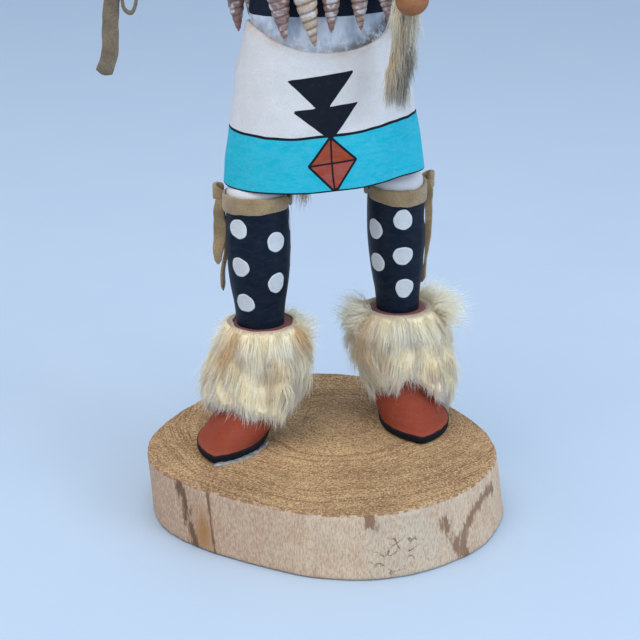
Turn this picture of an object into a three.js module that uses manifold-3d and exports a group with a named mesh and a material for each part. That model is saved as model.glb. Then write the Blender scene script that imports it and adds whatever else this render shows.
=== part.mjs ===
// A carved and painted kachina doll, dressed in fur, suede and shells, on a slice of a branch.
// Millimetres, +Z up. The doll looks towards -Y, and the origin is the middle of the slice's
// underside. Right and left are the doll's own, so its right hand is on the -X side.
import * as THREE from "three";
import { mergeVertices } from "three/addons/utils/BufferGeometryUtils.js";
import Module from "manifold-3d";

const wasm = await Module();
wasm.setup();

// ---------------------------------------------------------------- driving dimensions

const GAP = 0.3; // air left between pieces that touch

// The slice of branch
const SLICE_THICKNESS = 27;
const SLICE_RADIUS = 68.9;
const SLICE_SWELLS = [[2, 2.1, 69], [3, 2.7, 151], [4, 1.4, 36], [5, 0.6, 11]]; // lobes, mm, degrees
const SLICE_LEAN = { x: -3, y: -1 }; // how far the branch leans from its underside to its top face
const SLICE_FLARE = 1; // the underside is a little wider than the top
const SLICE_EDGE = 0.8; // worn edge of both faces

// Where the doll stands on the slice
const DOLL_X = -1.9;
const DOLL_Y = 15.3;
const DOLL_TURN = 12;
const SOLE_Z = SLICE_THICKNESS + GAP;

// Kilt and torso: height, half width, half depth, sideways lean
const KILT_STATIONS = [
  [130.5, 40.3, 23.0, -0.5],
  [143, 38.8, 22.8, -0.7],
  [157, 36.8, 22.2, -1.4],
  [175, 34.2, 20.6, -2.4],
  [193.5, 28.6, 18.3, -3.5],
];
const TORSO_STATIONS = [
  [197.5, 26.2, 15.6, -3.7],
  [208, 25.0, 15.4, -3.7],
  [222, 26.8, 16.6, -3.5],
  [236, 29.8, 17.0, -3.2],
  [245, 27.5, 15.0, -3.0],
  [250, 18.0, 11.8, -3.0],
  [253, 11.5, 10.4, -3.0],
  [262, 10.4, 10.4, -3.0],
];
const BODY_SQUARENESS = 2.2; // 2 is an ellipse
const HEM_Z = 131;
const HEM_SLOPE = 0.05; // the hem rises a little to the doll's left
const KILT_BACK_Z = 193.5; // top rim of the kilt at the sides and back
const KILT_DIP = 9.5; // how far the rim dips in front
const RIM_STEP = 2.0; // the belly lies this far inside the rim
const WAIST_Z = 197.5;

// Legs and boots
const ANKLE_Z = 75;
const KNEE_Z = 124;
const LEG_TOP_Z = 140;
const LEG_STATIONS = [
  [74, 9.4],
  [83, 10.1],
  [93, 11.7],
  [105, 12.6],
  [115, 12.6],
  [124, 12.2],
  [130, 11.8],
  [140, 9.0],
];
const SOLE_THICKNESS = 3.3;
const BOOT_TOP_RADIUS = 13.1;
const INSTEP_POWER = 4; // how quickly the foot draws in to the shaft above the toe
const LEGS = {
  right: {
    thickness: 1, ankle: [-27.8, -3.8], knee: [-28.3, -3.7], bootTop: 1,
    toe: [-51.5, -32.2], footTurn: -26, footLength: 50, footWidth: 27, knotAngle: -120,
  },
  left: {
    thickness: 0.92, ankle: [30.6, 2.7], knee: [29.0, 3.0], bootTop: 0.86,
    toe: [33.1, -31.1], footTurn: -6.3, footLength: 50, footWidth: 28.5, knotAngle: 104,
  },
};

// Fur cuffs: height, radius, and how far they follow the foot outwards and forwards
const CUFF_STATIONS = [
  [34, 18.6, 4.5],
  [40, 20.2, 3.6],
  [48, 21.2, 2.6],
  [58, 21.4, 1.4],
  [67, 20.0, 0.5],
  [73, 17.2, 0],
  [75.2, 14.9, 0],
];
const CUFF_LOCKS = 9;
const CUFF_LOCK_DEPTH = 0.05;
const CUFF_HEM_WAVE = 2.2;

// Garters
const GARTER_Z = 122;
const GARTER_WIDTH = 7;
const SUEDE = 1.6;
const KNOT = { radius: 2.7, height: 3.6, z: 126.6, out: 2.2 };
const TAILS = {
  right: [
    { turn: 6, bottomZ: 98, reach: 16.6, widths: [2.4, 5.6, 5.2, 2.6] },
    { turn: -12, bottomZ: 85.5, reach: 16.2, widths: [2.2, 2.8, 2.8, 4.6] },
  ],
  left: [
    { turn: 5, bottomZ: 84.5, reach: 14.2, widths: [3.2, 4.2, 3.2, 3.4] },
    { turn: -14, bottomZ: 96, reach: 15.4, widths: [2.4, 4.4, 3.4, 3.0] },
  ],
};

// Belt and shells
const BELT_Z = 212.5;
const BELT_HEIGHT = 3;
const BELT_THICKNESS = 2;
const SHELL_TOP_Z = 216;
const SHELL_WHORLS = 5;
// angle round the waist from the front, length, radius, lean to the side; all from left to right
const SHELLS = [
  [-138, 23, 4.0, 2],
  [-97, 26.4, 4.1, -4.5],
  [-37, 27.2, 4.4, -9.5],
  [-18.6, 29.4, 4.4, -12],
  [0.5, 23.8, 3.8, -0.7],
  [17.5, 23.5, 3.8, -3.4],
  [38, 20.2, 4.0, -8],
  [64, 24, 4.1, 0],
  [98, 25, 4.2, -3],
  [138, 23, 4.0, -2],
];

// Arms: a chain of points with a radius at each, from the shoulder to the wrist
const RIGHT_ARM = [
  [-24, 1, 240, 7.4],
  [-35, 1.6, 237, 7.6],
  [-45, 4, 229, 6.8],
  [-52, 6, 224, 6.3],
  [-62, 6.4, 220, 6.2],
  [-72, 6.3, 216.5, 5.2],
  [-79, 6, 214, 4.6],
  [-82, 6, 213, 4.6],
];
const LEFT_ARM = [
  [18, 1, 240, 7.4],
  [28, 0.4, 237, 7.6],
  [34.5, -3, 227, 6.9],
  [36.5, -9.5, 217, 6.4],
  [33, -19, 211.5, 6.2],
  [26.5, -30, 209, 5.3],
  [22, -38.5, 207.5, 4.6],
  [21.5, -42, 207, 4.6],
];
const FISTS = {
  right: { at: [-86.5, 6, 211.8], size: [6.2, 5.4, 6.4] },
  left: { at: [21.2, -47, 206.2], size: [5.4, 6.4, 6.2] },
};

// Wrist tie, wrist fur and back pelt
const TIE = { x: -78.6, y: 6, z: 214.2, inner: 5.4, width: 4.6, thickness: 1.3, slope: 0.35 };
const TIE_END_Z = 176;
const WRIST_FUR_STATIONS = [
  [169.5, 1.2, 1.0, 19.0],
  [175, 4.4, 2.8, 18.8],
  [185, 5.4, 3.6, 18.2],
  [194, 5.6, 4.6, 18.8],
  [201, 7.2, 5.4, 20.0],
  [208, 8.0, 6.0, 20.8],
  [214, 5.4, 4.2, 21.0],
];
const WRIST_FUR_Y = -35.5;
const PELT_STATIONS = [
  [109, 1.6, 1.0, 27.2],
  [116, 5.6, 2.4, 27.2],
  [128, 7.4, 3.2, 27.4],
  [143, 8.2, 3.4, 26.9],
  [160, 8.6, 3.4, 26.3],
  [177, 8.8, 3.3, 24.8],
  [192, 8.8, 3.2, 22.5],
  [202, 8.4, 2.6, 20.2],
  [211.5, 7.4, 2.0, 18.6],
];
const PELT_X = -5.2;

// Head and ruff
const HEAD = { x: -3, bottomZ: 262.3, topZ: 308, radius: 20.5 };
const EAR = { radius: 8.5, thickness: 3.2, z: 287 };
const RUFF = { inner: 12.2, outer: 25, bottomZ: 254.4, topZ: 262, locks: 12 };

const COLOURS = {
  wood: 0xc9a679, body: 0xe9e4da, arm: 0x20242c, fur: 0xe6d6b0, suede: 0xb9986a,
  greySuede: 0x8d7c64, shell: 0xb89078, mask: 0x3fb9cc, thong: 0x6b4a32, pelt: 0xd9bd8a,
};

// ---------------------------------------------------------------- helpers

const radians = THREE.MathUtils.degToRad;

/** A smooth curve through rows of [height, value, value, ...]: returns the values at a height. */
function profile(rows) {
  const slope = (i, k) => {
    const a = rows[Math.max(i - 1, 0)];
    const b = rows[Math.min(i + 1, rows.length - 1)];
    return (b[k] - a[k]) / (b[0] - a[0]);
  };
  return (height) => {
    let i = 0;
    while (i < rows.length - 2 && height > rows[i + 1][0]) i += 1;
    const [a, b] = [rows[i], rows[i + 1]];
    const span = b[0] - a[0];
    const t = THREE.MathUtils.clamp((height - a[0]) / span, 0, 1);
    const s = t * t * (3 - 2 * t);
    return a.slice(1).map((from, k) =>
      from + (b[k + 1] - from) * s
      + span * (t * (1 - t) * (1 - t) * slope(i, k + 1) - t * t * (1 - t) * slope(i + 1, k + 1)));
  };
}

/** Angles once round, counter-clockwise from above, starting at the front (-Y). */
const around = (count) => Array.from({ length: count }, (_, j) => (2 * Math.PI * j) / count);

/** A point of an oval: exponent 2 is an ellipse, more is squarer. */
function oval(halfWidth, halfDepth, angle, power = 2) {
  const bend = (v) => Math.sign(v) * Math.abs(v) ** (2 / power);
  return [halfWidth * bend(Math.sin(angle)), -halfDepth * bend(Math.cos(angle))];
}

/** The geometry of numbered corners and triangles. */
function meshOf(points, triangles) {
  const geometry = new THREE.BufferGeometry();
  geometry.setAttribute("position", new THREE.Float32BufferAttribute(points.flat(), 3));
  geometry.setIndex(triangles);
  return geometry;
}

/** A skin over rings that lie one above the other, closed by a cap at each end. */
function skin(rings) {
  const n = rings[0].length;
  const points = rings.flat();
  const triangles = [];
  for (let i = 0; i + 1 < rings.length; i += 1) {
    for (let j = 0; j < n; j += 1) {
      const [a, b] = [i * n + j, i * n + ((j + 1) % n)];
      triangles.push(a, b, b + n, a, b + n, a + n);
    }
  }
  const middle = (ring) => [0, 1, 2].map((k) => ring.reduce((sum, p) => sum + p[k], 0) / n);
  const bottom = points.push(middle(rings[0])) - 1;
  const top = points.push(middle(rings.at(-1))) - 1;
  const last = (rings.length - 1) * n;
  for (let j = 0; j < n; j += 1) {
    const k = (j + 1) % n;
    triangles.push(bottom, k, j, top, last + j, last + k);
  }
  return meshOf(points, triangles);
}

/** A ring-shaped skin: a closed section swept once round, section points given by angle. */
function hoop(steps, sectionAt) {
  const sections = around(steps).map(sectionAt);
  const m = sections[0].length;
  const triangles = [];
  for (let i = 0; i < steps; i += 1) {
    for (let j = 0; j < m; j += 1) {
      const [a, b] = [i * m + j, i * m + ((j + 1) % m)];
      const [c, d] = [((i + 1) % steps) * m + j, ((i + 1) % steps) * m + ((j + 1) % m)];
      triangles.push(a, c, d, a, d, b);
    }
  }
  return meshOf(sections.flat(), triangles);
}

/** A round limb along a chain of [x, y, z, radius]. */
function limb(chain, sides, steps, grow = 0) {
  const curve = new THREE.CatmullRomCurve3(chain.map(([x, y, z]) => new THREE.Vector3(x, y, z)));
  const radiusAt = profile(chain.map(([, , , r], i) => [i / (chain.length - 1), r]));
  const up = new THREE.Vector3(0, 0, 1);
  const rings = [];
  for (let i = 0; i <= steps; i += 1) {
    const t = i / steps;
    const at = curve.getPoint(t);
    const ahead = curve.getTangent(t);
    const side = new THREE.Vector3().crossVectors(up, ahead).normalize();
    const over = new THREE.Vector3().crossVectors(ahead, side);
    const r = radiusAt(t)[0] + grow;
    rings.push(around(sides).map((a) => at.clone()
      .addScaledVector(side, r * Math.cos(a)).addScaledVector(over, r * Math.sin(a)).toArray()));
  }
  return skin(rings);
}

/** A flat strap along points of [x, y, z]; across is the direction of its width. */
function strap(points, widths, thickness, across, steps) {
  const curve = new THREE.CatmullRomCurve3(points.map((p) => new THREE.Vector3(...p)));
  const widthAt = profile(widths.map((w, i) => [i / (widths.length - 1), w]));
  const side = new THREE.Vector3(...across).normalize();
  const rings = [];
  for (let i = 0; i <= steps; i += 1) {
    const t = i / steps;
    const at = curve.getPoint(t);
    const face = new THREE.Vector3().crossVectors(curve.getTangent(t), side).normalize();
    const half = widthAt(t)[0] / 2;
    rings.push([[-1, -1], [1, -1], [1, 1], [-1, 1]].map(([w, h]) => at.clone()
      .addScaledVector(side, w * half).addScaledVector(face, (h * thickness) / 2).toArray()));
  }
  return skin(rings);
}

/** An egg-shaped lump. */
function lump([x, y, z], [rx, ry, rz], columns = 12, rows = 8) {
  return new THREE.SphereGeometry(1, columns, rows).scale(rx, ry, rz).translate(x, y, z);
}

/** A closed geometry as a solid that can be joined and cut. */
function solidOf(geometry) {
  const plain = geometry.clone();
  plain.deleteAttribute("normal");
  plain.deleteAttribute("uv");
  const merged = mergeVertices(plain, 1e-4);
  return new wasm.Manifold(new wasm.Mesh({
    numProp: 3,
    vertProperties: merged.attributes.position.array,
    triVerts: Uint32Array.from(merged.index.array),
  }));
}

const joined = (...geometries) => geometries.map(solidOf).reduce((a, b) => a.add(b));

/** A solid back as a geometry. */
function geometryOf(solid) {
  const { vertProperties, triVerts } = solid.getMesh();
  const geometry = new THREE.BufferGeometry();
  geometry.setAttribute("position", new THREE.BufferAttribute(vertProperties, 3));
  geometry.setIndex(new THREE.BufferAttribute(triVerts, 1));
  return geometry;
}

/** A named piece with its own material. */
function piece(name, geometry, colour, roughness = 0.85) {
  geometry.computeVertexNormals();
  const mesh = new THREE.Mesh(geometry, new THREE.MeshStandardMaterial({ color: colour, roughness }));
  mesh.name = name;
  return mesh;
}

// ---------------------------------------------------------------- the slice of branch

/** Radius of the slice at an angle from the front: a circle with a few broad swells. */
function sliceRadius(angle) {
  return SLICE_SWELLS.reduce(
    (r, [lobes, size, phase]) => r + size * Math.cos(lobes * angle - radians(phase)), SLICE_RADIUS);
}

function baseSlice() {
  const ring = (z, inset) => around(48).map((a) => {
    const lean = z / SLICE_THICKNESS;
    const r = sliceRadius(a) + SLICE_FLARE * (1 - lean) - inset;
    return [r * Math.sin(a) + SLICE_LEAN.x * lean, -r * Math.cos(a) + SLICE_LEAN.y * lean, z];
  });
  const rings = [
    ring(0, SLICE_EDGE),
    ring(SLICE_EDGE, 0),
    ring(SLICE_THICKNESS / 2, 0.4),
    ring(SLICE_THICKNESS - SLICE_EDGE, 0),
    ring(SLICE_THICKNESS, SLICE_EDGE),
  ];
  return piece("base_slice", skin(rings), COLOURS.wood);
}

// ---------------------------------------------------------------- torso and kilt

const kiltAt = profile(KILT_STATIONS);
const torsoAt = profile(TORSO_STATIONS);
const BODY_SIDES = 36;

/** Height of the kilt's rim: level behind, dipping in a U in front. */
function rimZ(angle) {
  const front = Math.cos(angle) > 0 ? Math.cos(angle) ** 2 : 0;
  return KILT_BACK_Z - KILT_DIP * front;
}

/** One ring of the body: the height may change on the way round. */
function bodyRing(sectionAt, heightAt, grow) {
  return around(BODY_SIDES).map((a) => {
    const z = heightAt(a);
    const [halfWidth, halfDepth, lean] = sectionAt(z);
    const [x, y] = oval(halfWidth + grow, halfDepth + grow, a, BODY_SQUARENESS);
    return [x + lean, y, z + (z === HEM_Z ? HEM_SLOPE * x : 0)];
  });
}

/** Torso and kilt as one skin; the belly is set back inside the kilt's rim. */
function torsoAndKilt() {
  const rings = [];
  const steps = 6;
  for (let i = 0; i <= steps; i += 1) {
    rings.push(bodyRing(kiltAt, (a) => HEM_Z + (rimZ(a) - HEM_Z) * (i / steps), 0));
  }
  rings.push(bodyRing(kiltAt, (a) => rimZ(a) + 0.4, -RIM_STEP * 0.45));
  rings.push(bodyRing(kiltAt, (a) => rimZ(a) - 0.3, -RIM_STEP));
  for (const z of [WAIST_Z, 204, 213, 225, 236, 243, 247, 250, 253, 262]) {
    rings.push(bodyRing(torsoAt, () => z, 0));
  }
  return skin(rings);
}

// ---------------------------------------------------------------- legs and moccasin boots

const legRadius = profile(LEG_STATIONS);

/** Centre of a leg at a height. */
function legCentre(leg, z) {
  const t = (z - ANKLE_Z) / (KNEE_Z - ANKLE_Z);
  return leg.ankle.map((from, k) => from + (leg.knee[k] - from) * t);
}

function legShape(leg) {
  return skin([74, 83, 93, 105, 115, 124, 131, LEG_TOP_Z].map((z) => {
    const [cx, cy] = legCentre(leg, z);
    const r = legRadius(z)[0] * leg.thickness;
    return around(18).map((a) => [cx + r * Math.sin(a), cy - r * Math.cos(a), z]);
  }));
}

/** The sole in the foot's own frame: the toe tip at the origin, the heel behind it. */
function soleOutline(leg, angle) {
  const sharpness = 1.2 + 0.4 * Math.cos(angle);
  const across = Math.sign(Math.sin(angle)) * Math.abs(Math.sin(angle)) ** sharpness;
  return [across * leg.footWidth / 2, (leg.footLength / 2) * (1 - Math.cos(angle))];
}

/** A moccasin boot: a sole, then rings that draw in from the foot to the round shaft. */
function bootShape(leg, sides, grow = 0, tallBy = 0) {
  const turn = radians(leg.footTurn);
  const uppers = SOLE_Z + SOLE_THICKNESS;
  const heights = [SOLE_Z - (grow && 2), uppers, 33, 36, 40, 45, 52, 61, ANKLE_Z + tallBy];
  return skin(heights.map((z) => around(sides).map((a) => {
    const t = THREE.MathUtils.clamp((z - uppers) / (ANKLE_Z - uppers), 0, 1);
    const draw = 1 - (1 - t) ** INSTEP_POWER;
    const [across, back] = soleOutline(leg, a);
    const foot = [
      leg.toe[0] + across * Math.cos(turn) - back * Math.sin(turn),
      leg.toe[1] + across * Math.sin(turn) + back * Math.cos(turn),
    ];
    const r = BOOT_TOP_RADIUS * leg.bootTop;
    const shaft = [leg.ankle[0] + r * Math.sin(a + turn), leg.ankle[1] - r * Math.cos(a + turn)];
    const outwards = [Math.sin(a + turn), -Math.cos(a + turn)];
    return [0, 1].map((k) => foot[k] + (shaft[k] - foot[k]) * draw + outwards[k] * grow).concat(z);
  })));
}

function figure() {
  const body = joined(
    torsoAndKilt(),
    legShape(LEGS.right), legShape(LEGS.left),
    bootShape(LEGS.right, 24), bootShape(LEGS.left, 24),
  );
  return piece("figure", geometryOf(body), COLOURS.body, 0.8);
}

// ---------------------------------------------------------------- arms

function arm(side, chain) {
  const fist = FISTS[side];
  const shape = joined(limb(chain, 10, 10), lump(fist.at, fist.size, 10, 7));
  const ribs = [213, 225, 236, 243, 247, 250, 253].map((z) => bodyRing(torsoAt, () => z, GAP));
  return piece(`${side}_arm`, geometryOf(shape.subtract(solidOf(skin(ribs)))), COLOURS.arm, 0.7);
}

// ---------------------------------------------------------------- head and ruff

/** A plain case mask: a round box with a domed top and a tab ear on each side. */
function head() {
  const { x, bottomZ, topZ, radius } = HEAD;
  const dome = [
    [0, 0.9], [0.05, 0.97], [0.3, 1], [0.6, 0.99], [0.8, 0.95], [0.91, 0.82], [0.98, 0.52], [1, 0.2],
  ];
  const mask = skin(dome.map(([t, share]) => around(24).map((a) => [
    x + radius * share * Math.sin(a), -radius * share * Math.cos(a), bottomZ + (topZ - bottomZ) * t,
  ])));
  const ears = [-1, 1].map((side) => new THREE.CylinderGeometry(EAR.radius, EAR.radius, EAR.thickness, 16)
    .translate(x + side * (radius + 2), 0, EAR.z));
  return piece("head", geometryOf(joined(mask, ...ears)), COLOURS.mask, 0.8);
}

function neckRuff() {
  const { inner, outer, bottomZ, topZ, locks } = RUFF;
  const section = [[0, 0.1], [0.45, 0], [0.85, 0.2], [1, 0.5], [0.8, 0.85], [0.35, 1], [0, 0.9]];
  const geometry = hoop(26, (a) => section.map(([out, up]) => {
    const r = inner + (outer - inner) * out * (1 + 0.08 * Math.cos(locks * a));
    return [HEAD.x + r * Math.sin(a), -r * Math.cos(a) * 0.92, bottomZ + (topZ - bottomZ) * up];
  }));
  return piece("neck_ruff", geometry, COLOURS.fur, 1);
}

// ---------------------------------------------------------------- fur cuffs and garters

const cuffAt = profile(CUFF_STATIONS);

/** Fur wrapped round a boot: soft locks outside, the boot's own shape inside. */
function furCuff(side) {
  const leg = LEGS[side];
  const turn = radians(leg.footTurn);
  const outer = skin(CUFF_STATIONS.map(([height]) => around(27).map((a) => {
    const [radius, follow] = cuffAt(height);
    const lock = Math.cos(CUFF_LOCKS * a + 0.05 * height);
    const r = radius * (1 + CUFF_LOCK_DEPTH * lock * (height < 73 ? 1 : 0.3));
    const ragged = height === CUFF_STATIONS[0][0] ? -CUFF_HEM_WAVE * lock : 0;
    const drift = side === "right" ? -1 : 1;
    return [
      leg.ankle[0] + follow * drift + r * Math.sin(a) - follow * Math.sin(turn) * 0.3,
      leg.ankle[1] - follow * 0.4 - r * Math.cos(a),
      height + ragged,
    ];
  })));
  const fur = solidOf(outer).subtract(solidOf(bootShape(leg, 18, 0.8, 4)));
  return piece(`${side}_fur_cuff`, geometryOf(fur), COLOURS.fur, 1);
}

/** A suede strap tied below the knee, with its knot and two hanging tails. */
function garter(side) {
  const leg = LEGS[side];
  const [cx, cy] = legCentre(leg, GARTER_Z);
  const inner = legRadius(GARTER_Z)[0] * leg.thickness + GAP + 0.15;
  const outer = inner + SUEDE;
  const section = [[inner, 0], [outer, 0.4], [outer, GARTER_WIDTH - 0.4], [inner, GARTER_WIDTH]];
  const band = hoop(20, (a) => section.map(([r, up]) => [
    cx + r * Math.sin(a), cy - r * Math.cos(a), GARTER_Z + up,
  ]));
  const reachOut = (angle, r, z) => [cx + r * Math.sin(angle), cy - r * Math.cos(angle), z];
  const knotAngle = radians(leg.knotAngle);
  const knot = lump(reachOut(knotAngle, outer + KNOT.out, KNOT.z), [KNOT.radius, KNOT.radius, KNOT.height], 8, 6);
  const tails = TAILS[side].map(({ turn, bottomZ, reach, widths }) => {
    const angle = knotAngle + radians(turn);
    const path = [0, 0.35, 0.7, 1].map((t) => reachOut(
      angle, outer + 1.4 + (reach - outer - 1.4) * t + 0.8 * Math.sin(Math.PI * t),
      KNOT.z + (bottomZ - KNOT.z) * t));
    return strap(path, widths, 1.3, [Math.cos(angle), Math.sin(angle), 0], 6);
  });
  return piece(`${side}_garter`, geometryOf(joined(band, knot, ...tails)), COLOURS.suede, 1);
}

// ---------------------------------------------------------------- belt and shells

function beltThong() {
  const geometry = hoop(36, (a) => [[0, 0], [BELT_THICKNESS, 0], [BELT_THICKNESS, 1], [0, 1]]
    .map(([out, up]) => {
      const z = BELT_Z + BELT_HEIGHT * up;
      const [halfWidth, halfDepth, lean] = torsoAt(z);
      const grow = GAP + 0.1 + out;
      const [x, y] = oval(halfWidth + grow, halfDepth + grow, a, BODY_SQUARENESS);
      return [x + lean, y, z];
    }));
  return piece("belt_thong", geometry, COLOURS.thong, 0.9);
}

/** A cerith shell hung point down: whorls that widen upwards from the tip, then a rounded end. */
function shell([angle, length, radius, lean], index) {
  const rings = [];
  for (let i = 0; i <= 2 * SHELL_WHORLS; i += 1) {
    const t = i / (2 * SHELL_WHORLS);
    const swell = 0.12 + 0.88 * Math.sin(Math.min(1, t / 0.7) * Math.PI / 2);
    const r = radius * swell * (i % 2 ? 1 : 0.88) * (t === 1 ? 0.7 : 1);
    rings.push(around(7).map((a) => [r * Math.sin(a), -r * Math.cos(a), length * (t - 1)]));
  }
  const [halfWidth, halfDepth, shift] = torsoAt(BELT_Z);
  const grow = 2 * GAP + BELT_THICKNESS + radius;
  const [x, y] = oval(halfWidth + grow, halfDepth + grow, radians(angle), BODY_SQUARENESS);
  const mesh = piece(`shell_${String(index + 1).padStart(2, "0")}`, skin(rings), COLOURS.shell, 0.5);
  mesh.position.set(x + shift, y, SHELL_TOP_Z);
  mesh.rotation.y = radians(lean);
  return mesh;
}

// ---------------------------------------------------------------- wrist tie, wrist fur and back pelt

/** A suede strap round the wrist: band, knot, one loop and one long hanging end. */
function wristTie() {
  const { x, y, z, inner, width, thickness } = TIE;
  const outer = inner + thickness;
  const section = [[-width / 2, inner], [-width / 2, outer], [width / 2, outer], [width / 2, inner]];
  const band = hoop(14, (a) => section.map(([along, r]) => [
    x + along, y + r * Math.cos(a), z + r * Math.sin(a) + along * TIE.slope,
  ]));
  const knot = lump([x, y - outer - 1.2, z - 2], [3.4, 2.4, 3.2], 8, 6);
  const end = strap([
    [x, y - outer - 1.4, z - 2], [x - 2.6, y - outer - 2.2, z - 10], [x - 3.6, y - outer - 1.6, z - 20],
    [x - 4.2, y - outer - 1.4, z - 30], [x - 7.0, y - outer - 1.2, TIE_END_Z],
  ], [4.6, 6.2, 6.4, 6.6], thickness, [1, 0.1, -0.1], 8);
  const loop = strap([
    [x + 0.6, y - outer - 1.2, z - 1.6], [x + 4.4, y - outer - 1.6, z - 3.2], [x + 6.4, y - outer - 1.8, z - 9.5],
    [x + 4.6, y - outer - 2, z - 15.2], [x + 1.6, y - outer - 2, z - 13.6], [x + 1.0, y - outer - 1.8, z - 7],
    [x + 0.4, y - outer - 1.2, z - 2.6],
  ], [4, 4.6, 4.6, 4], thickness, [0.1, 1, 0], 12);
  return piece("wrist_tie", geometryOf(joined(band, knot, end, loop)), COLOURS.greySuede, 1);
}

/** A hanging strip of fur: oval rings down its length, ragged at the foot. */
function furStrip(stations, place, locks) {
  return skin(stations.map(([z, halfWidth, halfDepth, shift], i) => around(14).map((a) => {
    const [x, y] = oval(halfWidth, halfDepth, a);
    const [cx, cy] = place(shift);
    const ragged = i === 0 ? 0 : 0.9 * Math.cos(locks * a + i);
    return [cx + x * (1 + 0.06 * Math.cos(locks * a + i)), cy + y, z + ragged];
  })));
}

function wristFur() {
  const strip = solidOf(furStrip(WRIST_FUR_STATIONS, (shift) => [shift, WRIST_FUR_Y], 3));
  const forearm = solidOf(limb(LEFT_ARM, 10, 10, 0.5));
  const hand = solidOf(lump(FISTS.left.at, FISTS.left.size.map((s) => s + 0.5), 10, 7));
  return piece("wrist_fur", geometryOf(strip.subtract(forearm).subtract(hand)), COLOURS.fur, 1);
}

function backPelt() {
  return piece("back_pelt", furStrip(PELT_STATIONS, (shift) => [PELT_X, shift], 4), COLOURS.pelt, 1);
}

// ---------------------------------------------------------------- the whole object

const doll = new THREE.Group();
doll.position.set(DOLL_X, DOLL_Y, 0);
doll.rotation.z = radians(DOLL_TURN);
doll.add(figure(), arm("right", RIGHT_ARM), arm("left", LEFT_ARM), head(), neckRuff());
for (const side of Object.keys(LEGS)) {
  doll.add(furCuff(side), garter(side));
}
doll.add(beltThong(), ...SHELLS.map(shell));
doll.add(wristTie(), wristFur(), backPelt());

const object = new THREE.Group();
object.add(baseSlice(), doll);

export default object;
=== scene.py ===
import bpy
import numpy as np
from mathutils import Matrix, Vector


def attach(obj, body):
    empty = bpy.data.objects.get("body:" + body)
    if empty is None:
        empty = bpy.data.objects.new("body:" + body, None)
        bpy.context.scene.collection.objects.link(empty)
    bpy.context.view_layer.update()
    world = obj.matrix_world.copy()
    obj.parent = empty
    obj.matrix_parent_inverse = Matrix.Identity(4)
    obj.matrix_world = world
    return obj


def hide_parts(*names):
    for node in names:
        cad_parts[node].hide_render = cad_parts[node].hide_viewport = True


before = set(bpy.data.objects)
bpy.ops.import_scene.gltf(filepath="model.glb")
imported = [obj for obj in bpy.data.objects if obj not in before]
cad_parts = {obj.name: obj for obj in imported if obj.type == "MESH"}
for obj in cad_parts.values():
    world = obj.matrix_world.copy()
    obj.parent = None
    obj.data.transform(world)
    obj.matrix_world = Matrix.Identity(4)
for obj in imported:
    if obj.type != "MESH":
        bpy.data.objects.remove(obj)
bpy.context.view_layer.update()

# ---- studio: camera, lights and floor
# The camera looks down on the doll from the front. A pale sweep of light from above and from both
# sides leaves only soft shadows, and the floor is one large pale sheet that greys with distance.

LOOK_DOWN = 19.5
FLOOR_HALF = 4.0

scene = bpy.context.scene
camera_data = bpy.data.cameras.new("camera")
camera_data.lens = 90
camera_data.sensor_width = 36
camera_data.clip_start = 0.05
camera_data.clip_end = 50
camera = bpy.data.objects.new("camera", camera_data)
camera.location = (-0.0044, -0.5972, 0.289)
camera.rotation_euler = (np.radians(90 - LOOK_DOWN), 0, 0)
bpy.context.collection.objects.link(camera)
scene.camera = camera
scene.view_settings.view_transform = "Standard"
scene.view_settings.exposure = 0.37


def srgb(red, green, blue):
    """A colour as seen, 0 to 255, as linear light: the usual 2.4 power curve with a straight foot."""
    seen = np.array([red, green, blue]) / 255
    light = np.where(seen < 0.04045, seen / 12.92, ((seen + 0.055) / 1.055) ** 2.4)
    return (*light.tolist(), 1.0)


def lamp(name, place, height, size, watts, colour):
    """A square soft light at a place, turned to face the middle of the slice at a height."""
    data = bpy.data.lights.new(name, "AREA")
    data.shape = "SQUARE"
    data.size = size
    data.energy = watts
    data.color = srgb(*colour)[:3]
    light = bpy.data.objects.new(name, data)
    light.location = place
    light.rotation_euler = (Vector((0, 0, height)) - Vector(place)).to_track_quat("-Z", "Y").to_euler()
    bpy.context.collection.objects.link(light)


lamp("ceiling", (-0.2, -0.35, 1.5), 0.1, 1.0, 9.8, (255, 250, 243))
lamp("window", (1.1, -0.8, 0.8), 0.12, 0.9, 8.5, (206, 228, 255))
lamp("fill", (-0.9, -1.2, 0.5), 0.12, 0.8, 2.6, (255, 248, 240))

scene.world = bpy.data.worlds.new("daylight")
scene.world.use_nodes = True
daylight = scene.world.node_tree.nodes["Background"]
daylight.inputs["Color"].default_value = srgb(206, 222, 246)
daylight.inputs["Strength"].default_value = 0.78

floor_mesh = bpy.data.meshes.new("floor")
corners = [(x * FLOOR_HALF, y * FLOOR_HALF, -0.0002) for x, y in ((-1, -1), (1, -1), (1, 1), (-1, 1))]
floor_mesh.from_pydata(corners, [], [(0, 1, 2, 3)])
floor = bpy.data.objects.new("floor", floor_mesh)
bpy.context.collection.objects.link(floor)

bench = {}  # "tree" is the node tree of the material or effect that is being made


class Wire:
    """A value on its way from one shader node to the next. A sum on wires adds a Math node."""

    def __init__(self, socket):
        self.socket = socket

    def __add__(self, other):
        return maths("ADD", self, other)

    def __sub__(self, other):
        return maths("SUBTRACT", self, other)

    def __rsub__(self, other):
        return maths("SUBTRACT", other, self)

    def __mul__(self, other):
        return maths("MULTIPLY", self, other)

    def __abs__(self):
        return maths("ABSOLUTE", self)

    __radd__ = __add__
    __rmul__ = __mul__


def connect(node, feeds):
    """Gives a node's inputs their wires and values. A colour is written as seen, 0 to 255."""
    for key, value in feeds.items():
        socket = node.inputs[key]
        if isinstance(value, Wire):
            bench["tree"].links.new(value.socket, socket)
        else:
            socket.default_value = srgb(*value) if socket.type == "RGBA" else value


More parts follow.
